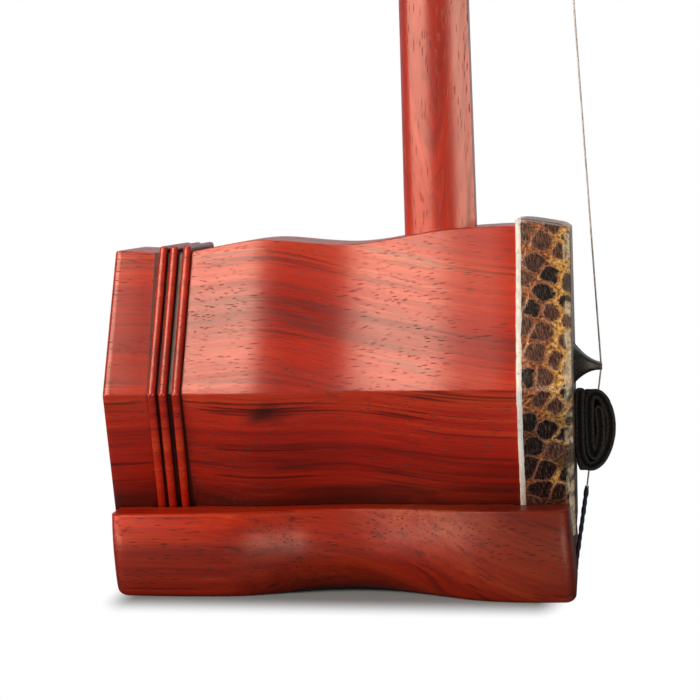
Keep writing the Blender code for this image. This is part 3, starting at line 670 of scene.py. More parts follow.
def unbent(s):
    """Places on the neck with the bend of its head laid straight, for grain that follows the bend."""
    rise = s.minus(s.axis(2), HEAD_START)
    beyond = s.math("MAXIMUM", rise, 0.0)
    reach = s.plus(s.axis(0), HEAD_BEND_RADIUS)
    bend = s.math("ARCTAN2", beyond, reach)
    depth = s.minus(s.length(s.vector(x=reach, z=beyond)), HEAD_BEND_RADIUS)
    height = s.plus(s.times(bend, HEAD_BEND_RADIUS), s.math("MINIMUM", rise, 0.0))
    return s.vector(depth, s.axis(1), s.plus(height, HEAD_START))


def swept(start, end, drop):
    """Grain that runs down by drop between two places along the board."""

    def grain(s, turn):
        place = s.turn(s.place, turn)
        shift = s.band(s.axis(0, place), start, end, 0.0, drop)
        return s.added(place, s.vector(z=shift))

    return grain


def board_grain(turn, drop=0.0):
    """Grain that lies flat in the board turned so, and runs across it by drop towards its front end."""

    def grain(s, _):
        place = s.turn(s.place, (-math.radians(turn), 0, 0))
        shift = s.band(s.axis(0), -25 * MM, 55 * MM, 0.0, drop)
        return s.added(s.scaled(place, (1, 0.25, 1)), s.vector(z=shift))

    return grain


SCALE_CHARCOAL = [(0.38, (0.006, 0.005, 0.005)), (0.54, (0.022, 0.014, 0.012)), (0.68, (0.15, 0.10, 0.085))]
SCALE_BROWN = [(0.36, (0.026, 0.010, 0.008)), (0.52, (0.105, 0.045, 0.030)), (0.68, (0.38, 0.20, 0.14))]
SKIN_TAN = [
    (0.38, (0.030, 0.010, 0.006)), (0.46, (0.22, 0.062, 0.020)),
    (0.56, (0.50, 0.18, 0.060)), (0.70, (0.80, 0.50, 0.30)),
]
SKIN_GOLD = [
    (0.36, (0.07, 0.022, 0.006)), (0.45, (0.50, 0.20, 0.035)),
    (0.56, (0.84, 0.54, 0.15)), (0.70, (0.96, 0.84, 0.60)),
]
# Pale colours at the rim's turn: partly wear, partly painted highlight.
SKIN_WORN_AND_HIGHLIT = [(0.35, (0.50, 0.28, 0.10)), (0.50, (0.88, 0.72, 0.48)), (0.64, (0.97, 0.93, 0.86))]


def scale_cells(s, flat):
    """How far each point is inside its scale, and the random colour of the scale it is on."""
    wobble = s.noise(flat, (110, 110, 110), 2.0, output="Color")
    ragged = s.noise(flat, (1500, 1500, 1500), 3.0, output="Color")
    spot = s.added(flat, s.centred(wobble, (4.0 * MM,) * 3))
    spot = s.added(spot, s.centred(ragged, (1.1 * MM,) * 3))
    spot = s.turn(spot, (0, 0, SCALE_ROWS_TURN))
    spot = s.scaled(spot, (1 / SCALE_SIZE[0], 1 / SCALE_SIZE[1], 0))
    cells = s.cells(spot, (1, 1, 1), "F1", SCALE_SCATTER, "2D")
    edge = s.cells(spot, (1, 1, 1), "DISTANCE_TO_EDGE", SCALE_SCATTER, "2D")["Distance"]
    inside = s.math("MINIMUM", s.times(edge, 0.8), s.minus(SCALE_HALF_SIZE, cells["Distance"]))
    return inside, edge, cells["Color"]


def skin_border(s, mottle, patch, front, low):
    """The skin between its scales: tan on the band, gold towards the front, dim here and there low down."""
    border = s.mixed(front, s.ramp(mottle, SKIN_TAN), s.ramp(mottle, SKIN_GOLD))
    dim = s.times(low, s.band(patch, 0.60, 0.48))
    return s.mixed(s.times(dim, 0.85), border, rgb(0.030, 0.012, 0.007))


def worn_and_highlit_rim(s, flat, along, face):
    """How pale the skin is where it turns over the rim: partly wear, partly a painted highlight."""
    streak = s.noise(flat, (130, 900, 900), 3.0, 0.6)
    pale_reach = s.plus(along, s.swing(streak, 5.0 * MM))
    pale_patches = s.band(s.noise(flat, (105, 105, 105), 2.0), 0.47, 0.56, 0.12, 1.0)
    rim = s.times(s.band(pale_reach, 62.4 * MM, 63.8 * MM, 0.0, 0.9), s.minus(1.0, face))
    return s.times(rim, pale_patches)


def snakeskin():
    """Python skin: rows of dark oval scales with fine striations on mottled amber, under a gloss."""
    s = Shader("snakeskin")
    flat = s.stored("unrolled", "Vector")
    along = s.axis(0)
    body, edge, kind = scale_cells(s, flat)
    kind = s.node("SeparateColor", {0: kind}).outputs[0]
    striations = s.noise(s.turn(flat, (0, 0, math.radians(-8))), (420, 3200, 0), 3.0, 0.65)
    mottle = s.noise(flat, (900, 900, 900), 4.0, 0.7)
    patch = s.noise(flat, (70, 70, 70), 2.0)
    low = s.band(s.axis(2), -18 * MM, 0.0, 1.0, 0.0)
    face = s.band(along, 64.6 * MM, 64.95 * MM)
    depth = s.plus(along, s.swing(patch, 12 * MM))
    front = s.minus(s.band(depth, 56 * MM, 62 * MM), s.times(face, 0.7))
    brown, charcoal = s.ramp(striations, SCALE_BROWN), s.ramp(striations, SCALE_CHARCOAL)
    inside = s.mixed(s.band(kind, 0.25, 0.55), brown, charcoal)
    body = s.plus(body, s.swing(mottle, 0.26))
    body = s.plus(body, s.times(low, 0.035))
    body = s.minus(body, s.times(front, 0.04))
    rimmed = s.times(s.band(body, 0.015, 0.045), s.band(body, 0.055, 0.11, 1.0, 0.0))
    colour = s.mixed(s.band(body, 0.03, 0.07), skin_border(s, mottle, patch, front, low), inside)
    colour = s.mixed(s.times(rimmed, 0.35), colour, rgb(0.55, 0.27, 0.20))
    # Pale at the rim's turn: partly wear, partly painted highlight.
    colour = s.mixed(worn_and_highlit_rim(s, flat, along, face), colour, s.ramp(mottle, SKIN_WORN_AND_HIGHLIT))
    height = s.plus(s.band(edge, 0.0, 0.16), s.times(striations, 0.35))
    return s.finish(
        Base_Color=colour,
        Roughness=s.band(mottle, 0.3, 0.7, 0.34, 0.20),
        Normal=s.bump(height, 0.18 * MM, 0.7),
        Specular_IOR_Level=0.6,
    )


def streaked(name, scale, stops, roughness, depth, strength, fine=0.6, **extra):
    """A material whose colour and bump follow one noise, and its roughness too if that is a pair."""
    s = Shader(name)
    streak = s.noise(s.place, scale, 3.0, fine)
    if isinstance(roughness, tuple):
        roughness = s.band(streak, 0.3, 0.7, *roughness)
    colour, normal = s.ramp(streak, stops), s.bump(streak, depth, strength)
    return s.finish(Base_Color=colour, Roughness=roughness, Normal=normal, **extra)


def edge_white():
    """Dried white glue, a little soiled."""
    stops = [(0.28, (0.68, 0.62, 0.55)), (0.42, (0.94, 0.93, 0.91)), (0.70, (0.98, 0.98, 0.98))]
    return streaked("edge_strip_white", (700, 700, 700), stops, 0.5, 0.15 * MM, 0.6)


def horn():
    """Blackened bridge wood, brushed from foot to crown, reddish where the strings wear its tip."""
    s = Shader("bridge_horn")
    brush = s.noise(s.place, (120, 900, 2600), 3.0, 0.6)
    cloud = s.noise(s.place, (160, 160, 160), 2.0)
    dark, middle, light = (0.012, 0.011, 0.010), (0.036, 0.033, 0.031), (0.10, 0.092, 0.088)
    colour = s.ramp(brush, [(0.30, dark), (0.50, middle), (0.72, light)])
    tip = s.band(s.axis(0), BRIDGE_TIP - 1.2 * MM, BRIDGE_TIP + 0.1 * MM, 0.0, 0.7)
    colour = s.mixed(tip, colour, rgb(0.11, 0.035, 0.028))
    return s.finish(
        Base_Color=colour,
        Roughness=s.band(cloud, 0.3, 0.7, 0.50, 0.34),
        Normal=s.bump(brush, 0.05 * MM, 0.5),
        Specular_IOR_Level=0.6,
    )


def felt():
    """Black wool felt, with a painted highlight along its cut edges."""
    s = Shader("damper_felt")
    wool = s.noise(s.place, (1500, 1500, 1500), 4.0, 0.7)
    fibres = s.noise(s.place, (5200, 2600, 5200), 3.0, 0.7)
    dark, middle, light = (0.0035, 0.003, 0.003), (0.010, 0.009, 0.009), (0.035, 0.031, 0.030)
    colour = s.ramp(wool, [(0.32, dark), (0.55, middle), (0.75, light)])
    # Painted highlight: paler colour on the cut edges, where the points store a rim value.
    edge = s.times(s.stored("rim"), s.band(wool, 0.35, 0.6, 0.25, 1.0))
    colour = s.mixed(edge, colour, rgb(0.10, 0.090, 0.080))
    height = s.plus(wool, s.times(fibres, 0.5))
    return s.finish(
        Base_Color=colour,
        Roughness=0.95,
        Normal=s.bump(height, 0.35 * MM, 0.8),
        Sheen_Weight=0.35,
        Sheen_Roughness=0.45,
        Sheen_Tint=rgb(0.55, 0.50, 0.48),
        Specular_IOR_Level=0.2,
    )


def bone():
    """Polished bone with faint streaks."""
    stops = [(0.35, (0.62, 0.53, 0.37)), (0.55, (0.78, 0.71, 0.56)), (0.7, (0.85, 0.80, 0.68))]
    glow = {"Subsurface_Weight": 0.08, "Subsurface_Scale": 0.002}
    return streaked("bone", (260, 260, 900), stops, (0.34, 0.24), 0.03 * MM, 0.4, **glow)


def steel(name, colour, roughness, wound=0.0):
    """Drawn or wound wire; wound is the pitch of the winding, 0 for plain wire."""
    s = Shader(name)
    tarnish = s.noise(s.place, (600, 600, 220), 3.0, 0.6)
    shade = s.ramp(tarnish, [(0.3, tuple(0.6 * c for c in colour)), (0.6, colour)])
    height = tarnish
    if wound:
        height = s.math("SINE", s.times(s.axis(2), math.tau / wound))
    return s.finish(
        Base_Color=shade,
        Metallic=1.0,
        Roughness=s.band(tarnish, 0.3, 0.7, roughness + 0.08, roughness),
        Normal=s.bump(height, 0.03 * MM, 0.5),
    )


def thread(name, dark, light, fibre):
    """Twisted silk or cotton; fibre is the size of its strands."""
    scale = (1 / fibre, 1 / fibre, 0.4 / fibre)
    sheen = {"Sheen_Weight": 0.25, "Sheen_Roughness": 0.4}
    return streaked(name, scale, [(0.32, dark), (0.66, light)], 0.72, 0.1 * MM, 0.7, 0.65, **sheen)


def on_facet(turn, x, out, up):
    """Box-frame point on the board turned so, up its face from the middle."""
    cos, sin = math.cos(math.radians(turn)), math.sin(math.radians(turn))
    across = -up if cos < 0 else up
    return x, out * cos - across * sin, out * sin + across * cos


def stave_wood(name, turn, seed):
    """Each board is its own cut of wood; the lower near one has a knot. Painted shade darkens each board
    by the beads, the lower near one towards its lower edge, and the lower far and bottom boards all over.
    """
    look = f"rosewood_{name}"
    if name == "stave_lower_near":
        knot = dark_knot(on_facet(turn, -19.5 * MM, 40.9 * MM, 17.0 * MM), 3.4 * MM)
        stains_and_shade = (bead_groove_shade, knot, darker_below)
        heart = board_grain(turn, -5 * MM)
        return wood(look, seed, wander=0.4 * MM, lines=0.7, heart=heart, stains_and_shade=stains_and_shade, run=4)
    if name == "stave_upper_near":
        heart = board_grain(turn, -18 * MM)
        return wood(look, seed, lines=0.5, heart=heart, stains_and_shade=(bead_groove_shade,))
    # Painted shade: the lower far and bottom boards, facing down, get the darker rosewood.
    tones = DEEP_AND_SHADED_ROSEWOOD if "lower" in name or "bottom" in name else ROSEWOOD
    return wood(look, seed, tones, lines=0.35, heart=board_grain(turn), stains_and_shade=(bead_groove_shade,))


# Sound box


def plumb(x, z):
    """Box-frame x of a plumb plane that crosses the box's centre line at world x."""
    return x / math.cos(BOX_TILT) + z * math.tan(BOX_TILT)


def stave_section(out, ease):
    """(along, out) outline of a board, its two outer edges rounded into the ridges."""
    top = out - ease
    corner = (top - RIDGE_RADIUS) * TAN_30
    shoulder = top - RIDGE_RADIUS
    edge = [(corner + RIDGE_RADIUS * sin, shoulder + RIDGE_RADIUS * cos) for cos, sin in arc(30, 0, 5)]
    flat = [(corner * (1 - 2 * t), top) for t in between(0, 1, 16)[1:-1]]
    inner = out - WALL
    outline = edge + flat + [(-a, b) for a, b in reversed(edge)]
    outline += [(inner * TAN_30 * t, inner) for t in between(-1, 1, 8)]
    return [(a - math.copysign(STAVE_SEAM, a), b) for a, b in outline]


def stave(name, turn, seed):
    """One board of the box, its back end plumb; the top one has the neck's way cut through it."""
    cos, sin = math.cos(math.radians(turn)), math.sin(math.radians(turn))
    eased = [(0.0, 0.9 * MM), (0.12 * MM, 0.5 * MM), (0.4 * MM, 0.18 * MM), (0.9 * MM, 0.0)]
    stations = [(BOX_BACK + inset, ease) for inset, ease in eased]
    stations += [(x, 0.0) for x in between(BOX_BACK + 2 * MM, STAVE_END, STAVE_STEPS)]
    rings = []
    for x, ease in stations:
        lean = 1 - smooth_step(x, BOX_BACK + 1 * MM, BEAD_CENTRES[0])
        ring = []
        for along, out in stave_section(box_width(x), ease):
            y, z = out * cos - along * sin, out * sin + along * cos
            ring.append((x + lean * (plumb(x, z) - x), y, z))
        rings.append(ring)
    board = make_mesh(f"{name}_look", *loft(rings))
    if name == "stave_top":
        carve(board, [in_box(loft([neck_at(height, GLUE_LINE) for height in (20 * MM, 60 * MM)]))])
    if name == "stave_bottom":
        carve(board, [in_box(rod(-60 * MM, -20 * MM, TENON_RADIUS + GAP, 32))])
    finish_piece(board, name, stave_wood(name, turn, seed), BOX)


def moved(shape, matrix):
    """The shape's points carried by the matrix."""
    points, faces = shape
    return np.array([matrix @ Vector(p) for p in points]), faces


def in_box(shape):
    """A neck-frame shape in the box frame."""
    return moved(shape, BOX.inverted() @ NECK)


def trim_ring(number, centre, look):
    """A rounded bead round the box; each point stores how high it stands on the bead."""
    wall = max(box_width(centre + side * BEAD_HALF_WIDTH) for side in (-1, 1)) + GLUE_LINE
    foot = 0.5 * MM
    height = BEAD_TOP - wall - foot
    profile = [(-BEAD_HALF_WIDTH, wall, 0.0)]
    for cos, sin in arc(180, 0, 20):
        rise = max(sin, 0.0) ** 0.75
        profile.append((BEAD_HALF_WIDTH * squared(cos, 0.8), wall + foot + height * rise, 0.2 + 0.8 * rise))
    profile.append((BEAD_HALF_WIDTH, wall, 0.0))
    rings, rises = [], []
    for x, out, rise in profile:
        ring = [(plumb(centre, z) + x, y, z) for y, z in hexagon(out, 1.0 * MM, 6, 8)]
        rings.append(ring)
        rises += [rise] * len(ring)
    bead = make_mesh(f"trim_ring_{number}_look", *loft(rings, wrap=True))
    store(bead, "rise", rises)
    finish_piece(bead, f"trim_ring_{number}", look, BOX)


def edge_strip(look):
    """Bead of white glue and paper that shows where the skin ends."""
    start, end = EDGE_STRIP
    outer = EDGE_STRIP_OUTER
    inner = box_width(start) + GLUE_LINE
    profile = [
        (start, inner), (start + 0.04 * MM, outer - 0.35 * MM), (start + 0.3 * MM, outer - 0.02 * MM),
        (end - 0.4 * MM, outer), (end, outer - 0.25 * MM), (end, inner),
    ]
    ragged_rings = 4
    rings = []
    for number, (x, out) in enumerate(profile):
        ring = []
        for y, z in hexagon(out, 2.0 * MM, 6, 60):
            wave = roughly((y, z, 0), 1, 4 * MM) * 0.16 * MM + roughly((y, z, 0), 2, 1 * MM) * 0.10 * MM
            ring.append((x + wave * (number < ragged_rings), y, z))
        rings.append(ring)
    piece("skin_edge_strip", loft(rings, wrap=True), look, BOX, 50)


def distance_round(ring):
    """Distance round the ring to each of its points, from the middle of its bottom flat."""
    points = np.array(ring)
    travelled = np.cumsum(np.linalg.norm(points - np.roll(points, 1, axis=0), axis=1))
    bottom = np.argmin(points[:, 1] + np.abs(points[:, 0]))
    return (travelled - travelled[bottom]) % travelled[-1]


def skin_profile():
    """(x, half width, corner radius, way along the band) from inside the rim round to the front.

    Also the numbers of the first and last ring on the visible band.
    """
    back = SKIN_FRONT - SKIN_THICKNESS
    clear = 0.1 * MM
    profile = [(back, box_width(STAVE_END) + clear, SKIN_INNER_RADIUS, 0.0)]
    for x in between(60 * MM, SKIN_BAND_START, 4):
        profile.append((x, box_width(x) + clear, SKIN_INNER_RADIUS, 0.0))
    first = len(profile)
    start = SKIN_FRONT - SKIN_RIM_RADIUS
    band = [(x, spline(SKIN_OUTER, x), SKIN_CORNER_RADIUS) for x in between(SKIN_BAND_START, start, 16)]
    for cos, sin in arc(0, 90, 7)[1:]:
        x = SKIN_FRONT - SKIN_RIM_RADIUS * (1 - sin)
        out = SKIN_OUTER[-1][1] * MM - SKIN_RIM_RADIUS * (1 - cos)
        band.append((x, out, SKIN_CORNER_RADIUS - 0.3 * MM))
    length = 0.0
    for before, (x, out, radius) in zip(band[:1] + band, band):
        length += math.hypot(x - before[0], out - before[1])
        profile.append((x, out, radius, length))
    membrane = band[-1][1]
    for t in [0.996] + between(1, 0, 30)[1:-1]:
        profile.append((SKIN_FRONT, membrane * t, max(SKIN_CORNER_RADIUS * t, 0.05 * MM), 0.0))
    profile.append((SKIN_FRONT, 0.5 * MM, 0.05 * MM, 0.0))
    return profile, first, first + len(band) - 1


def python_skin(look):
    """The skin over the front and round the rim, with an unrolled position on every point."""
    profile, first, last = skin_profile()
    round_rim = distance_round(hexagon(EDGE_STRIP_OUTER, SKIN_CORNER_RADIUS, 6, 30))
    rings, unrolled = [], []
    for number, (x, out, radius, length) in enumerate(profile):
        ring = []
        for (y, z), travelled in zip(hexagon(out, radius, 6, 30), round_rim):
            px = x
            if number in (first - 1, first):
                px += roughly((y, z, 0), 3, 5 * MM) * 0.25 * MM
                px += roughly((y, z, 0), 4, 1.2 * MM) * 0.22 * MM
            if x == SKIN_FRONT:
                near = math.exp(-((y / (10 * MM)) ** 2) - ((z - BRIDGE_FOOT_CENTRE) / (8 * MM)) ** 2)
                px -= BRIDGE_DENT * near
            ring.append((px, y, z))
            unrolled.append((travelled, length, 0.0) if first <= number <= last else (y, z, 0.0))
        rings.append(ring)
    skin = make_mesh("python_skin_look", *loft(rings))
    store(skin, "unrolled", unrolled)
    finish_piece(skin, "python_skin", look, BOX, 50)


def rear_window(look):
    """Pierced panel set into the back of the box, its holes chamfered."""
    start, end = WINDOW_START, WINDOW_START + WINDOW_THICKNESS
    reach = box_width(start) - WALL
    rings = []
    for x, out in ((start, reach - 0.6 * MM), (start + 0.4 * MM, reach), (end, reach)):
        rings.append([(x, y, z) for y, z in hexagon(out, 0.8 * MM, 3, 4)])
    panel = make_mesh("rear_window_look", *loft(rings))
    rows = range(-2, 3)
    spots = [(i + j / 2, j * math.sqrt(3) / 2) for i in rows for j in rows if abs(i + j) <= 2]
    radius, chamfer, past = WINDOW_HOLE_RADIUS, WINDOW_CHAMFER, 1 * MM
    profile = [
        (start - past, radius + chamfer + past), (start + chamfer, radius),
        (end - chamfer, radius), (end + past, radius + chamfer + past),
    ]
    holes = []
    for across, up in spots:
        holes.append(turned(profile, 40, (0, across * WINDOW_HOLE_PITCH, up * WINDOW_HOLE_PITCH)))
    carve(panel, [joined(holes)])
    finish_piece(panel, "rear_window", look, BOX)


# Base


def cleared(along, x):
    """Half width across the flats that the base clears at x."""
    if BEAD_CHANNEL[0] < x < BEAD_CHANNEL[1]:
        return BEAD_TOP + GAP
    if x > SKIN_CHANNEL:
        return spline(SKIN_OUTER, max(along, 53.5 * MM)) + 2 * GAP
    return box_width(along) + GAP


def under_box(x, y):
    """World height of the trough below the box at x and y."""
    z = -40 * MM
    for _ in range(4):
        along = x * math.cos(BOX_TILT) + z * math.sin(BOX_TILT)
        out = cleared(along, x)
        z = max(-out, -2 * out + math.sqrt(3) * abs(y))
    return BOX_HEIGHT + z * math.cos(BOX_TILT) + along * math.sin(BOX_TILT)


def rim_width(x, height):
    """Half width at which the trough reaches the rim's height."""
    low, high = 10 * MM, 50 * MM
    for _ in range(20):
        middle = (low + high) / 2
        low, high = (middle, high) if under_box(x, middle) < height else (low, middle)
    return low


def base_section(x, ease):
    """Half outline of the base at x, from the foot's centre round to the trough's centre."""
    foot, belly = (size - ease for size in both(BASE_STATIONS, x))
    outline = [(foot * t, ease) for t in between(0, 1, 6)[:-1]]
    low = BASE_BELLY_HEIGHT - ease
    outline += [(foot + (belly - foot) * sin, BASE_BELLY_HEIGHT - low * cos) for cos, sin in arc(0, 90, 16)]
    rim_height = BASE_RIM_HEIGHT + BASE_RIM_RISE * x
    along = x + (BASE_BELLY_HEIGHT - rim_height) * BASE_SHEAR
    rim = rim_width(along, rim_height)
    height = rim_height - BASE_EDGE - BASE_BELLY_HEIGHT
    outline += [(belly - BASE_LEAN * t**2, BASE_BELLY_HEIGHT + height * t) for t in between(0, 1, 12)[1:]]
    for cos, sin in arc(20, 90, 6):
        outline.append((belly - BASE_LEAN - BASE_EDGE * (1 - cos), rim_height - BASE_EDGE * (1 - sin)))
    outline.append((rim, rim_height))
    flat = cleared(x - 1 * MM, x) * TAN_30
    outline += [(rim + (flat - rim) * t, None) for t in between(0, 1, 6)[1:]]
    outline += [(flat * t, None) for t in (0.6, 0.3, 0.0)]
    return outline


def base_rings():
    """Sections from back to front, eased over the rounded ends."""
    stations = [(x, 0.0) for x in between(BASE_BACK + BASE_END_RADIUS, BASE_FRONT - BASE_END_RADIUS, 110)]
    for edge in (*BEAD_CHANNEL, SKIN_CHANNEL):
        stations += [(edge - 0.05 * MM, 0.0), (edge + 0.05 * MM, 0.0)]
    for cos, sin in arc(10, 90, 8):
        inset, ease = BASE_END_RADIUS * (1 - sin), BASE_END_RADIUS * (1 - cos) * 0.7
        stations += [(BASE_BACK + inset, ease), (BASE_FRONT - inset, ease)]
    rings = []
    for x, ease in sorted(stations):
        half = []
        for y, z in base_section(x, ease):
            along = x if z is None else x + (BASE_BELLY_HEIGHT - z) * BASE_SHEAR
            if z is None:
                z = under_box(along, y)
                for _ in range(3):
                    along = x + (BASE_BELLY_HEIGHT - z) * BASE_SHEAR
                    z = under_box(along, y)
            half.append((along, y, z))
        rings.append(half + [(px, -py, pz) for px, py, pz in half[-2:0:-1]])
    return rings


def hook_recess():
    """The notch in the base's front edge, its corners rounded."""
    half, top = HOOK_RECESS_SIZE
    radius = 1 * MM
    outline = []
    for corner in (-90, 0, 90, 180):
        cy = (half - radius) * (1 if corner in (-90, 0) else -1)
        cz = top - radius if corner in (0, 90) else -5 * MM
        outline += [(cy + radius * cos, cz + radius * sin) for cos, sin in arc(corner, corner + 90, 4)]
    return loft([[(x, y, z) for y, z in outline] for x in (BASE_FRONT - HOOK_RECESS, BASE_FRONT + 9 * MM)])


def base(look):
    body = make_mesh("base_look", *loft(base_rings()))
    below = -70 * MM
    bores = (
        (TENON_END - 2 * GAP, -30 * MM, TENON_RADIUS + GAP),
        (below, -30 * MM, BOLT_RADIUS + GAP),
        (below, BOLT_SEAT, COUNTERBORE_RADIUS),
    )
    cutters = [hook_recess()] + [moved(rod(*bore, 48), NECK) for bore in bores]
    clear = 0.1 * MM
    cutters.append(pin(HOOK_RADIUS + clear, HOOK_HALF_LENGTH + clear, clear))
    carve(body, cutters)
    finish_piece(body, "base", look, WORLD, 32)


# Neck


def neck_ring(depth, width, grow=0.0):
    """(x, y) outline of the neck: flat in front with crisp edges, its sides and back rounded."""
    front, side = depth / 2 + grow, width / 2 + grow
    shoulder, tuck, edge = depth * 0.08, width * 0.12, 0.5 * MM
    right = []
    for t in between(1, 0, 8):
        x = shoulder + (front - edge - shoulder) * t
        right.append((x, side - tuck * t**2))
    flat = side - tuck - edge
    corner = [(front, flat), (front - 0.15 * edge, flat + 0.7 * edge)]
    ring = [(front, flat * t) for t in (-0.5, 0.0, 0.5)] + corner + right
    for cos, sin in arc(0, 180, 30)[1:-1]:
        ring.append((shoulder - (shoulder + depth / 2 + grow) * sin, side * cos))
    ring += [(x, -y) for x, y in reversed(right)] + [(x, -y) for x, y in reversed(corner)]
    return ring


def neck_at(height, grow=0.0):
    """The neck's outline at a height."""
    return [(x, y, height) for x, y in neck_ring(*both(NECK_SECTIONS, height), grow)]


def head_ring(bend, depth, width, beyond=0.0, grow=0.0):
    """The neck's outline carried round the head's backward bend."""
    ring = []
    for x, y in neck_ring(depth, width, grow):
        reach = HEAD_BEND_RADIUS + x
        px = reach * math.cos(bend) - HEAD_BEND_RADIUS - beyond * math.sin(bend)
        pz = HEAD_START + reach * math.sin(bend) + beyond * math.cos(bend)
        ring.append((px, y, pz))
    return ring


def neck_rod(look):
    """The neck from its tenon to the end of its bent head, with the ways of the bolt and the pegs."""
    rings = [neck_at(height) for height in between(NECK_FOOT, HEAD_START, 40)]
    depth, width = both(NECK_SECTIONS, HEAD_START)
    for step in between(0, 1, 28)[1:]:
        ease = smooth_step(step, 0, 1)
        size = depth + (HEAD_END_DEPTH - depth) * ease, width + (HEAD_END_WIDTH - width) * ease
        rings.append(head_ring(HEAD_BEND * step, *size))
    neck = make_mesh("neck_look", *loft(rings))
    carve(neck, [rod(TENON_END, NECK_FOOT + 2 * MM, TENON_RADIUS, 48)], "UNION")
    ways = [rod(-60 * MM, BOLT_TOP + GAP, BOLT_RADIUS + GAP, 32)]
    for _, _, height, _, _ in STRINGS.values():
        ways.append(rod(-20 * MM, 20 * MM, PEG_BORE_RADIUS + 0.1 * MM, 48, (0, 0, height), "X"))
    carve(neck, ways)
    finish_piece(neck, "neck", look, NECK)


def head_cap(look):
    """Bone plate on the end of the head, its outer edge rounded."""
    rings = []
    for beyond, ease in ((0.02, 0.15), (0.1, 0.0), (1.5, 0.0), (1.95, 0.12), (2.25, 0.35), (2.4, 0.8)):
        depth, width = HEAD_END_DEPTH - 2 * ease * MM, HEAD_END_WIDTH - 2 * ease * MM
        rings.append(head_ring(HEAD_BEND, depth, width, GAP + (beyond - 0.3) * MM))
    piece("head_cap", loft(rings), look, NECK)


# Pegs


def peg_matrix(height):
    return NECK @ Matrix.Translation((0, 0, height))


def peg(name, height, tip_radius, look):
    """A fluted peg through the neck, its thin end ringed by a small collar."""
    profile = [(x, spline(PEG_PROFILE, x)) for x in between(-118 * MM, -14 * MM, 150)]
    profile += [(-PEG_GRIP, PEG_BORE_RADIUS), (PEG_GRIP, PEG_BORE_RADIUS)]
    for cos, sin in arc(0, 90, 4):
        profile.append((PEG_GRIP + 1.4 * MM * sin, tip_radius + (PEG_BORE_RADIUS - tip_radius) * cos))
    profile += [(PEG_TIP - 3.4 * MM, tip_radius), (PEG_TIP - 2.6 * MM, tip_radius + 0.1 * MM)]
    for cos, sin in arc(-60, 80, 10):
        profile.append((PEG_TIP - 1.2 * MM + 1.2 * MM * sin, tip_radius - 0.6 * MM + 1.1 * MM * cos))

    def fluted(along, radius, turn):
        depth = smooth_step(along, PEG_FLUTE_ENDS[0], PEG_FLUTE_ENDS[0] + 8 * MM)
        depth *= 1 - smooth_step(along, PEG_FLUTE_ENDS[1] - 14 * MM, PEG_FLUTE_ENDS[1])
        return radius * (1 - PEG_FLUTE_DEPTH * depth * (1 + math.cos(PEG_FLUTES * turn)) / 2)

    piece(f"{name}_peg", turned(profile, 128, radius=fluted), look, peg_matrix(height))


def peg_button(name, height, look):
    """Domed bone button on the peg's thick end."""
    back = PEG_PROFILE[0][0] * MM
    profile = [(back - 0.02 * MM, BUTTON_RADIUS - 0.3 * MM)]
    profile += [(back - 0.3 * MM - BUTTON_HEIGHT * sin, BUTTON_RADIUS * cos) for cos, sin in arc(0, 88, 14)]
    piece(f"{name}_peg_button", turned(profile, 48), look, peg_matrix(height))


def winding(name, side, radius, height, tip_radius, ends, look):
    """The turns of string round a peg: half a turn where the string arrives, then a coil."""
    reach = tip_radius + radius
    path = []
    steps = 40
    coil = ends[1] - ends[0] - 2 * radius
    for i in range(WINDING_TURNS * steps + 1):
        turn = math.tau * i / steps
        along = ends[1] - radius - coil * max(i / steps - 0.5, 0) / (WINDING_TURNS - 0.5)
        path.append((along, side * reach * math.cos(turn), reach * math.sin(turn)))
    piece(f"{name}_string_winding", tube(path, radius, 10), look, peg_matrix(height))


# Strings and what they touch


def at(point, y):
    return Vector((point.x, y, point.z))


def loop_point():
    """Where the strings pass the loop, in the box frame."""
    return Vector((BRIDGE_NOTCH.x + STRING_SLOPE * (LOOP_HEIGHT - BRIDGE_NOTCH.z), 0, LOOP_HEIGHT))


def string(name, side, radius, height, tip_radius, ends, look):
    """The straight string, from its silk end over the bridge and under the loop to its peg."""
    y = side * STRING_SPACING / 2
    arrival = Matrix.Translation((NECK_OFFSET, 0, 0)) @ Matrix.Rotation(-NECK_TILT, 4, "Y")
    end = arrival @ Vector((ends[1] - radius, side * (tip_radius + radius), height))
    corners = [at(SILK_START, y), at(BRIDGE_NOTCH, y), at(loop_point(), y), end]
    path = []
    for here, there in zip(corners, corners[1:]):
        path += [here.lerp(there, t) for t in (0.0, 0.02, 0.3, 0.7, 0.98)]
    piece(f"{name}_string", tube(path + [end], radius, 14), look, BOX)


def silk_end(name, side, look):
    """Bound end of a string: two plies twisted together, looped under the pin in the base."""
    y = side * STRING_SPACING / 2
    top = BOX @ SILK_START
    wrap = HOOK_RADIUS + SILK_RADIUS
    corners = [at(top, y)]
    for cos, sin in arc(0, 100, 5) + arc(100, 125, 1)[1:]:
        corners.append(at(HOOK_CENTRE + wrap * Vector((cos, 0, -sin)), y))
    path = [corners[0].lerp(corners[1], t) for t in between(0, 1, 76)[:-1]]
    path += smooth_path(corners[1:], 4)
    length = (corners[1] - corners[0]).length

    def plies(travelled, turn):
        twist = math.cos(2 * turn + math.tau * travelled / SILK_TWIST)
        bulge = math.sin(math.tau * travelled / SILK_LUMPS) * 0.06
        taper = 1.12 - 0.16 * min(travelled / length, 1.0)
        if travelled < 0.6 * MM:
            taper *= 0.86 + 0.14 * travelled / (0.6 * MM)
        return SILK_RADIUS * taper * (0.92 + 0.12 * twist + bulge)

    piece(f"{name}_string_silk", tube(path, plies, 18), look, WORLD, 60)


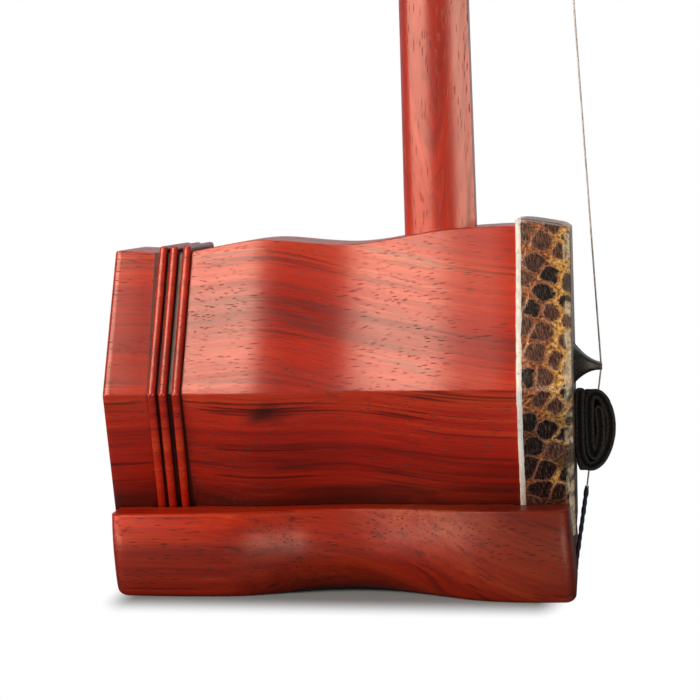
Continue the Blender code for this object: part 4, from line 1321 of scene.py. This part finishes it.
def hull_loop(grow):
    """Closed path round the neck and both strings, in the plane of the loop, and where it crosses them."""
    crossing = NECK.inverted() @ BOX @ loop_point()
    outline = [Vector((x, y)) for x, y, _ in neck_at(LOOP_HEIGHT, grow)]
    reach = STRINGS["inner"][1] + grow
    for cos, sin in arc(0, 90, 6):
        x, y = crossing.x + reach * cos, STRING_SPACING / 2 + reach * sin
        outline += [Vector((x, y)), Vector((x, -y))]
    corners = [outline[i] for i in geometry.convex_hull_2d(outline)]
    corners.append(corners[0])
    lengths = [0.0]
    for here, there in zip(corners, corners[1:]):
        lengths.append(lengths[-1] + (there - here).length)
    spots = np.linspace(0, lengths[-1], 120, endpoint=False)
    xs = np.interp(spots, lengths, [p.x for p in corners])
    ys = np.interp(spots, lengths, [p.y for p in corners])
    return crossing, list(zip(xs, ys))


def qianjin(look):
    """Cotton thread wound round the neck and the strings, cinched between the two."""
    radius = THREAD_RADIUS
    crossing, loop = hull_loop(0.35 * MM + radius)
    threads = []
    for t in between(-0.5, 0.5, THREAD_TURNS - 1):
        z = crossing.z + (LOOP_BAND - 2 * radius) * t
        wobble = [0.12 * MM * roughly((x, y, z), 6, 6 * MM) for x, y in loop]
        path = [(x, y, z + w) for (x, y), w in zip(loop, wobble)]
        threads.append(tube(path, radius, 8, closed=True))
    middle = (crossing.x + both(NECK_SECTIONS, LOOP_HEIGHT)[0] / 2) / 2
    half_y = np.interp(middle, *zip(*sorted((x, abs(y)) for x, y in loop if x > 0)))
    high = LOOP_BAND / 2 + radius
    for i in range(-2, 3):
        x = middle + i * 2 * radius
        wide = half_y + 2 * radius - (x - middle) * 0.3
        path = [(wide * squared(cos, 0.5), high * squared(sin, 0.5)) for cos, sin in circle(48)]
        threads.append(tube([(x, y, crossing.z + z) for y, z in path], radius, 8, closed=True))
    piece("qianjin", joined(threads), look, NECK)


def bridge(look):
    """Flared foot on the skin, rising to a narrow crown with two string grooves."""
    foot_x = SKIN_FRONT - BRIDGE_DENT
    rings = []
    for t in between(0, 1, 36):
        flare = (1 - t) ** 2.0
        half_y, half_z = (crown + (foot - crown) * flare for foot, crown in zip(BRIDGE_FOOT, BRIDGE_CROWN))
        ease = 0.25 * MM * smooth_step(t, 0.93, 1.0)
        middle = BRIDGE_FOOT_CENTRE + (BRIDGE_NOTCH.z - BRIDGE_FOOT_CENTRE) * t
        ring = []
        for cos, sin in circle(72, 0.5):
            y, z = (half_y - ease) * squared(cos, 0.3), middle + (half_z - ease) * squared(sin, 0.45)
            ring.append((foot_x + (BRIDGE_TIP - foot_x) * t, y, z))
        rings.append(ring)
    body = make_mesh("bridge_look", *loft(rings))
    cutters = []
    for side, radius, _, _, _ in STRINGS.values():
        centre = (BRIDGE_NOTCH.x, side * STRING_SPACING / 2, 0)
        cutters.append(rod(-4 * MM, 9 * MM, radius + 0.05 * MM, 24, centre))
    rise, reach = BRIDGE_ARCH
    arch = [[(foot_x + rise * sin, reach * cos, z) for cos, sin in circle(32)] for z in (-12 * MM, 20 * MM)]
    carve(body, cutters + [loft(arch)])
    finish_piece(body, "bridge", look, BOX, 30)


def felt_outline(inset):
    """(x, z) outline of the rolled strip, both faces and round ends, and its middle line's length."""
    middle = smooth_path([(x * MM, 0, z * MM) for x, z in FELT_PATH], 9)
    half = FELT_THICKNESS / 2 - inset
    left, right = [], []
    for i, point in enumerate(middle):
        ahead = (middle[min(i + 1, len(middle) - 1)] - middle[max(i - 1, 0)]).normalized()
        across = Vector((ahead.z, 0, -ahead.x))
        left.append(point + across * half)
        right.append(point - across * half)
    ends = []
    for point, towards, edge in ((middle[-1], middle[-2], left[-1]), (middle[0], middle[1], right[0])):
        out = (point - towards).normalized() * half
        across = edge - point
        ends.append([point + across * cos + out * sin for cos, sin in arc(0, 180, 10)[1:-1]])
    outline = left + ends[0] + right[::-1] + ends[1]
    return [(p.x, p.z) for p in outline], sum((b - a).length for a, b in zip(middle, middle[1:]))


def damper(look):
    """A strip of felt rolled up and wedged behind the strings, which pinch it where they cross."""
    slope = (SILK_START.x - BRIDGE_NOTCH.x) / (SILK_START.z - BRIDGE_NOTCH.z)
    clearance = STRINGS["inner"][1] + 0.1 * MM
    half = FELT_HALF_LENGTH
    # The rim value marks where the felt's cut edges get a painted highlight.
    ends = [
        (-half, 0.95 * MM, 0.0), (-half, 0.5 * MM, 1.0),
        (-half + 0.12 * MM, 0.16 * MM, 0.6), (-half + 0.4 * MM, 0.0, 0.0),
    ]
    stations = ends + [(y, 0.0, 0.0) for y in between(-half + 1.2 * MM, half - 1.2 * MM, 34)]
    stations += [(-y, inset, rim) for y, inset, rim in reversed(ends)]
    length = 0.0
    rings, edge_highlights = [], []
    for y, inset, rim in stations:
        outline, length = felt_outline(inset)
        pinch = 1 - smooth_step(abs(y), 3.4 * MM, 10.5 * MM)
        ring = []
        for x, z in outline:
            limit = BRIDGE_NOTCH.x + slope * (z - BRIDGE_NOTCH.z) - clearance
            squeeze = 1 - pinch * (1 - (limit - FELT_BACK) / (FELT_FRONT - FELT_BACK))
            px = FELT_BACK + (x - FELT_BACK) * min(squeeze, 1.0)
            fuzz = 0.10 * MM * roughly((x, y, z), 8, 0.9 * MM)
            ring.append((max(px + fuzz, SKIN_FRONT), y, z - FELT_SAG * (y + half) + fuzz))
        rings.append(ring)
        edge_highlights += [rim] * len(ring)
    roll = make_mesh("damper_look", *loft(rings))
    store(roll, "rim", edge_highlights)
    finish_piece(roll, "damper", look, BOX, 50)


def pin(radius, half_length, ease):
    """A short rod across the base's notch, its ends eased."""
    end = [
        (half_length - ease, radius),
        (half_length - 0.3 * ease, radius - 0.3 * ease),
        (half_length, radius - ease),
    ]
    rings = []
    for y, r in [(-y, r) for y, r in reversed(end)] + end:
        rings.append([HOOK_CENTRE + Vector((r * cos, y, r * sin)) for cos, sin in circle(32)])
    return loft(rings)


# Stage

CAMERA_LENS = 142.0
CAMERA_PLACE = (0.072, -0.8, 0.1167)
CAMERA_YAW = math.radians(5.16)
CAMERA_PITCH = math.radians(90 - 3.61)
WARM = (1.0, 0.84, 0.64)
WHITE = rgb(1, 1, 1)
FLOOR_COLOUR = rgb(0.31, 0.39, 0.46)


def camera():
    data = bpy.data.cameras.new("camera")
    data.sensor_width = 36.0
    data.lens = CAMERA_LENS
    data.clip_start = 0.01
    eye = bpy.data.objects.new("camera", data)
    bpy.context.scene.collection.objects.link(eye)
    turn = Matrix.Rotation(CAMERA_YAW, 4, "Z") @ Matrix.Rotation(CAMERA_PITCH, 4, "X")
    eye.matrix_world = Matrix.Translation(CAMERA_PLACE) @ turn
    bpy.context.scene.camera = eye


def softbox(name, direction, distance, size, radiance, colour=WARM, diffuse=True, glossy=True):
    """A rectangular light that faces the box; its power follows from the radiance wanted."""
    target = Vector((0, 0, 0.08))
    data = bpy.data.lights.new(name, "AREA")
    data.shape = "RECTANGLE"
    data.size, data.size_y = size
    data.energy = radiance * math.pi * size[0] * size[1]
    data.color = colour
    lamp = bpy.data.objects.new(name, data)
    bpy.context.scene.collection.objects.link(lamp)
    way = Vector(direction).normalized()
    lamp.location = target + way * distance
    lamp.rotation_euler = way.to_track_quat("Z", "Y").to_euler()
    lamp.visible_camera = False
    lamp.visible_diffuse = diffuse
    lamp.visible_glossy = glossy


def surroundings():
    """White where the camera looks, and for the light that falls on the object a pale room."""
    world = bpy.data.worlds.new("studio")
    world.use_nodes = True
    world.node_tree.nodes.clear()
    n = Nodes(world.node_tree)
    way = n.coordinates["Generated"]
    away, up = n.axis(1, way), n.axis(2, way)
    sky = n.band(up, -0.05, 0.05, 0.02, 0.10)
    behind = n.band(away, 0.0, 0.6)
    low = n.band(up, 0.15, 0.5, 0.45, 0.0)
    glow = n.times(n.times(behind, low), n.band(up, -0.1, 0.0))
    lit = n.node("Background", {"Color": WHITE, "Strength": n.plus(sky, glow)}).outputs[0]
    white = n.node("Background", {"Color": WHITE}).outputs[0]
    seen = n.node("LightPath").outputs["Is Camera Ray"]
    mix = n.node("MixShader", {0: seen, 1: lit, 2: white}).outputs[0]
    n.node("OutputWorld", {0: mix})
    bpy.context.scene.world = world


def floor():
    """A pale disc that fades into the white a little way from the object."""
    profile = [(0.0, 0.001), (0.0, 3.0), (-0.01, 3.0), (-0.01, 0.001)]
    disc = make_mesh("floor", *turned(profile, 96, axis="Z"))
    s = Shader("floor")
    beyond = s.node("VectorMath", {0: s.place}, operation="ABSOLUTE").outputs[0]
    beyond = s.added(beyond, (-55 * MM, -45 * MM, 0))
    beyond = s.node("VectorMath", {0: beyond}, operation="MAXIMUM").outputs[0]
    reach = s.length(s.scaled(beyond, (3.5, 1, 1)))
    s.finish(Base_Color=FLOOR_COLOUR, Roughness=0.7, Specular_IOR_Level=0.1)
    seen = s.node("LightPath").outputs["Is Camera Ray"]
    glow = s.node("Emission", {"Color": WHITE, "Strength": s.band(seen, 0, 1, 0.5, 1.0)}).outputs[0]
    mix = s.node("MixShader", {0: s.band(reach, 0.0, 0.034), 1: s.surface.outputs[0], 2: glow}).outputs[0]
    s.put(s.tree.nodes["Material Output"].inputs["Surface"], mix)
    disc.data.materials.append(s.material)
    disc.visible_glossy = False


def stage():
    """Camera, pale surroundings and soft lights; some lights only shade, and some only shine."""
    camera()
    surroundings()
    floor()
    softbox("key", (-0.40, -0.45, 0.79), 1.7, (0.74, 0.70), 8.0, diffuse=False)
    softbox("left", (-0.82, -0.57, 0.13), 1.5, (1.6, 0.4), 9.0, diffuse=False)
    softbox("right", (0.59, -0.81, 0.12), 1.6, (0.8, 0.4), 9.0, diffuse=False)
    softbox("main", (-0.48, -0.70, 0.52), 1.7, (0.9, 0.7), 10.2, glossy=False)
    softbox("fill", (-0.25, -0.95, 0.15), 1.6, (1.2, 1.0), 1.3, glossy=False)
    softbox("overhead", (0.10, 0.45, 1.0), 2.0, (1.3, 0.9), 3.0, (1, 1, 1))
    bpy.context.scene.view_settings.view_transform = "Standard"


def build_box():
    trim = wood("rosewood_trim", 3.1, lines=0.3, stains_and_shade=(bead_side_shade,))
    for seed, (name, turn) in enumerate(STAVES.items(), 1):
        stave(name, turn, seed)
    for number, centre in enumerate(BEAD_CENTRES, 1):
        trim_ring(number, centre, trim)
    edge_strip(edge_white())
    python_skin(snakeskin())
    rear_window(wood("rosewood_window", 7.7, DEEP_AND_SHADED_ROSEWOOD, ALONG_Z))


def build_base_and_neck(pale):
    sweep = swept(-10 * MM, 75 * MM, 26 * MM)
    stains_and_shade = (darker_base,)
    base(wood("base_wood", 9.4, ORANGE_ROSEWOOD, wander=1.2 * MM, heart=sweep, stains_and_shade=stains_and_shade, shine=0.3))
    looks = {"wander": 0.4 * MM, "heart": cathedral, "pored": 0.7, "laid": unbent}
    neck_rod(wood("neck_wood", 11.0, ORANGE_ROSEWOOD, ALONG_Z, **looks))
    head_cap(pale)


def build_strings_and_pegs(pale):
    peg_wood = wood("peg_wood", 13.0, DEEP_AND_SHADED_ROSEWOOD, lines=0.3, shine=0.5, pored=0.25)
    wires = {
        "inner": steel("wound_string", (0.82, 0.81, 0.80), 0.50, 0.16 * MM),
        "outer": steel("plain_string", (0.90, 0.90, 0.90), 0.42),
    }
    silk = thread("blue_silk", (0.004, 0.005, 0.020), (0.020, 0.028, 0.120), 0.25 * MM)
    for name, (side, radius, height, tip_radius, ends) in STRINGS.items():
        peg(name, height, tip_radius, peg_wood)
        peg_button(name, height, pale)
        winding(name, side, radius, height, tip_radius, ends, wires[name])
        string(name, side, radius, height, tip_radius, ends, wires[name])
        silk_end(name, side, silk)
    qianjin(thread("cotton", (0.42, 0.35, 0.22), (0.78, 0.71, 0.55), 0.3 * MM))


def build_metal():
    """The pin, and new steel on the bolt and washer, which keep their own shapes."""
    brass = steel("brass_pin", (0.62, 0.42, 0.16), 0.28)
    piece("string_hook", pin(HOOK_RADIUS, HOOK_HALF_LENGTH, 0.3 * MM), brass)
    zinc = steel("bolt_steel", (0.55, 0.55, 0.54), 0.30)
    for node in ("neck_bolt", "washer"):
        materials = frame["nodes"][node].data.materials
        materials.clear()
        materials.append(zinc)


def build():
    for name in ("Cube", "Light", "Camera"):
        startup = bpy.data.objects.get(name)
        if startup:
            bpy.data.objects.remove(startup, do_unlink=True)
    stage()
    build_box()
    pale = bone()
    build_base_and_neck(pale)
    build_strings_and_pegs(pale)
    bridge(horn())
    damper(felt())
    build_metal()


build()
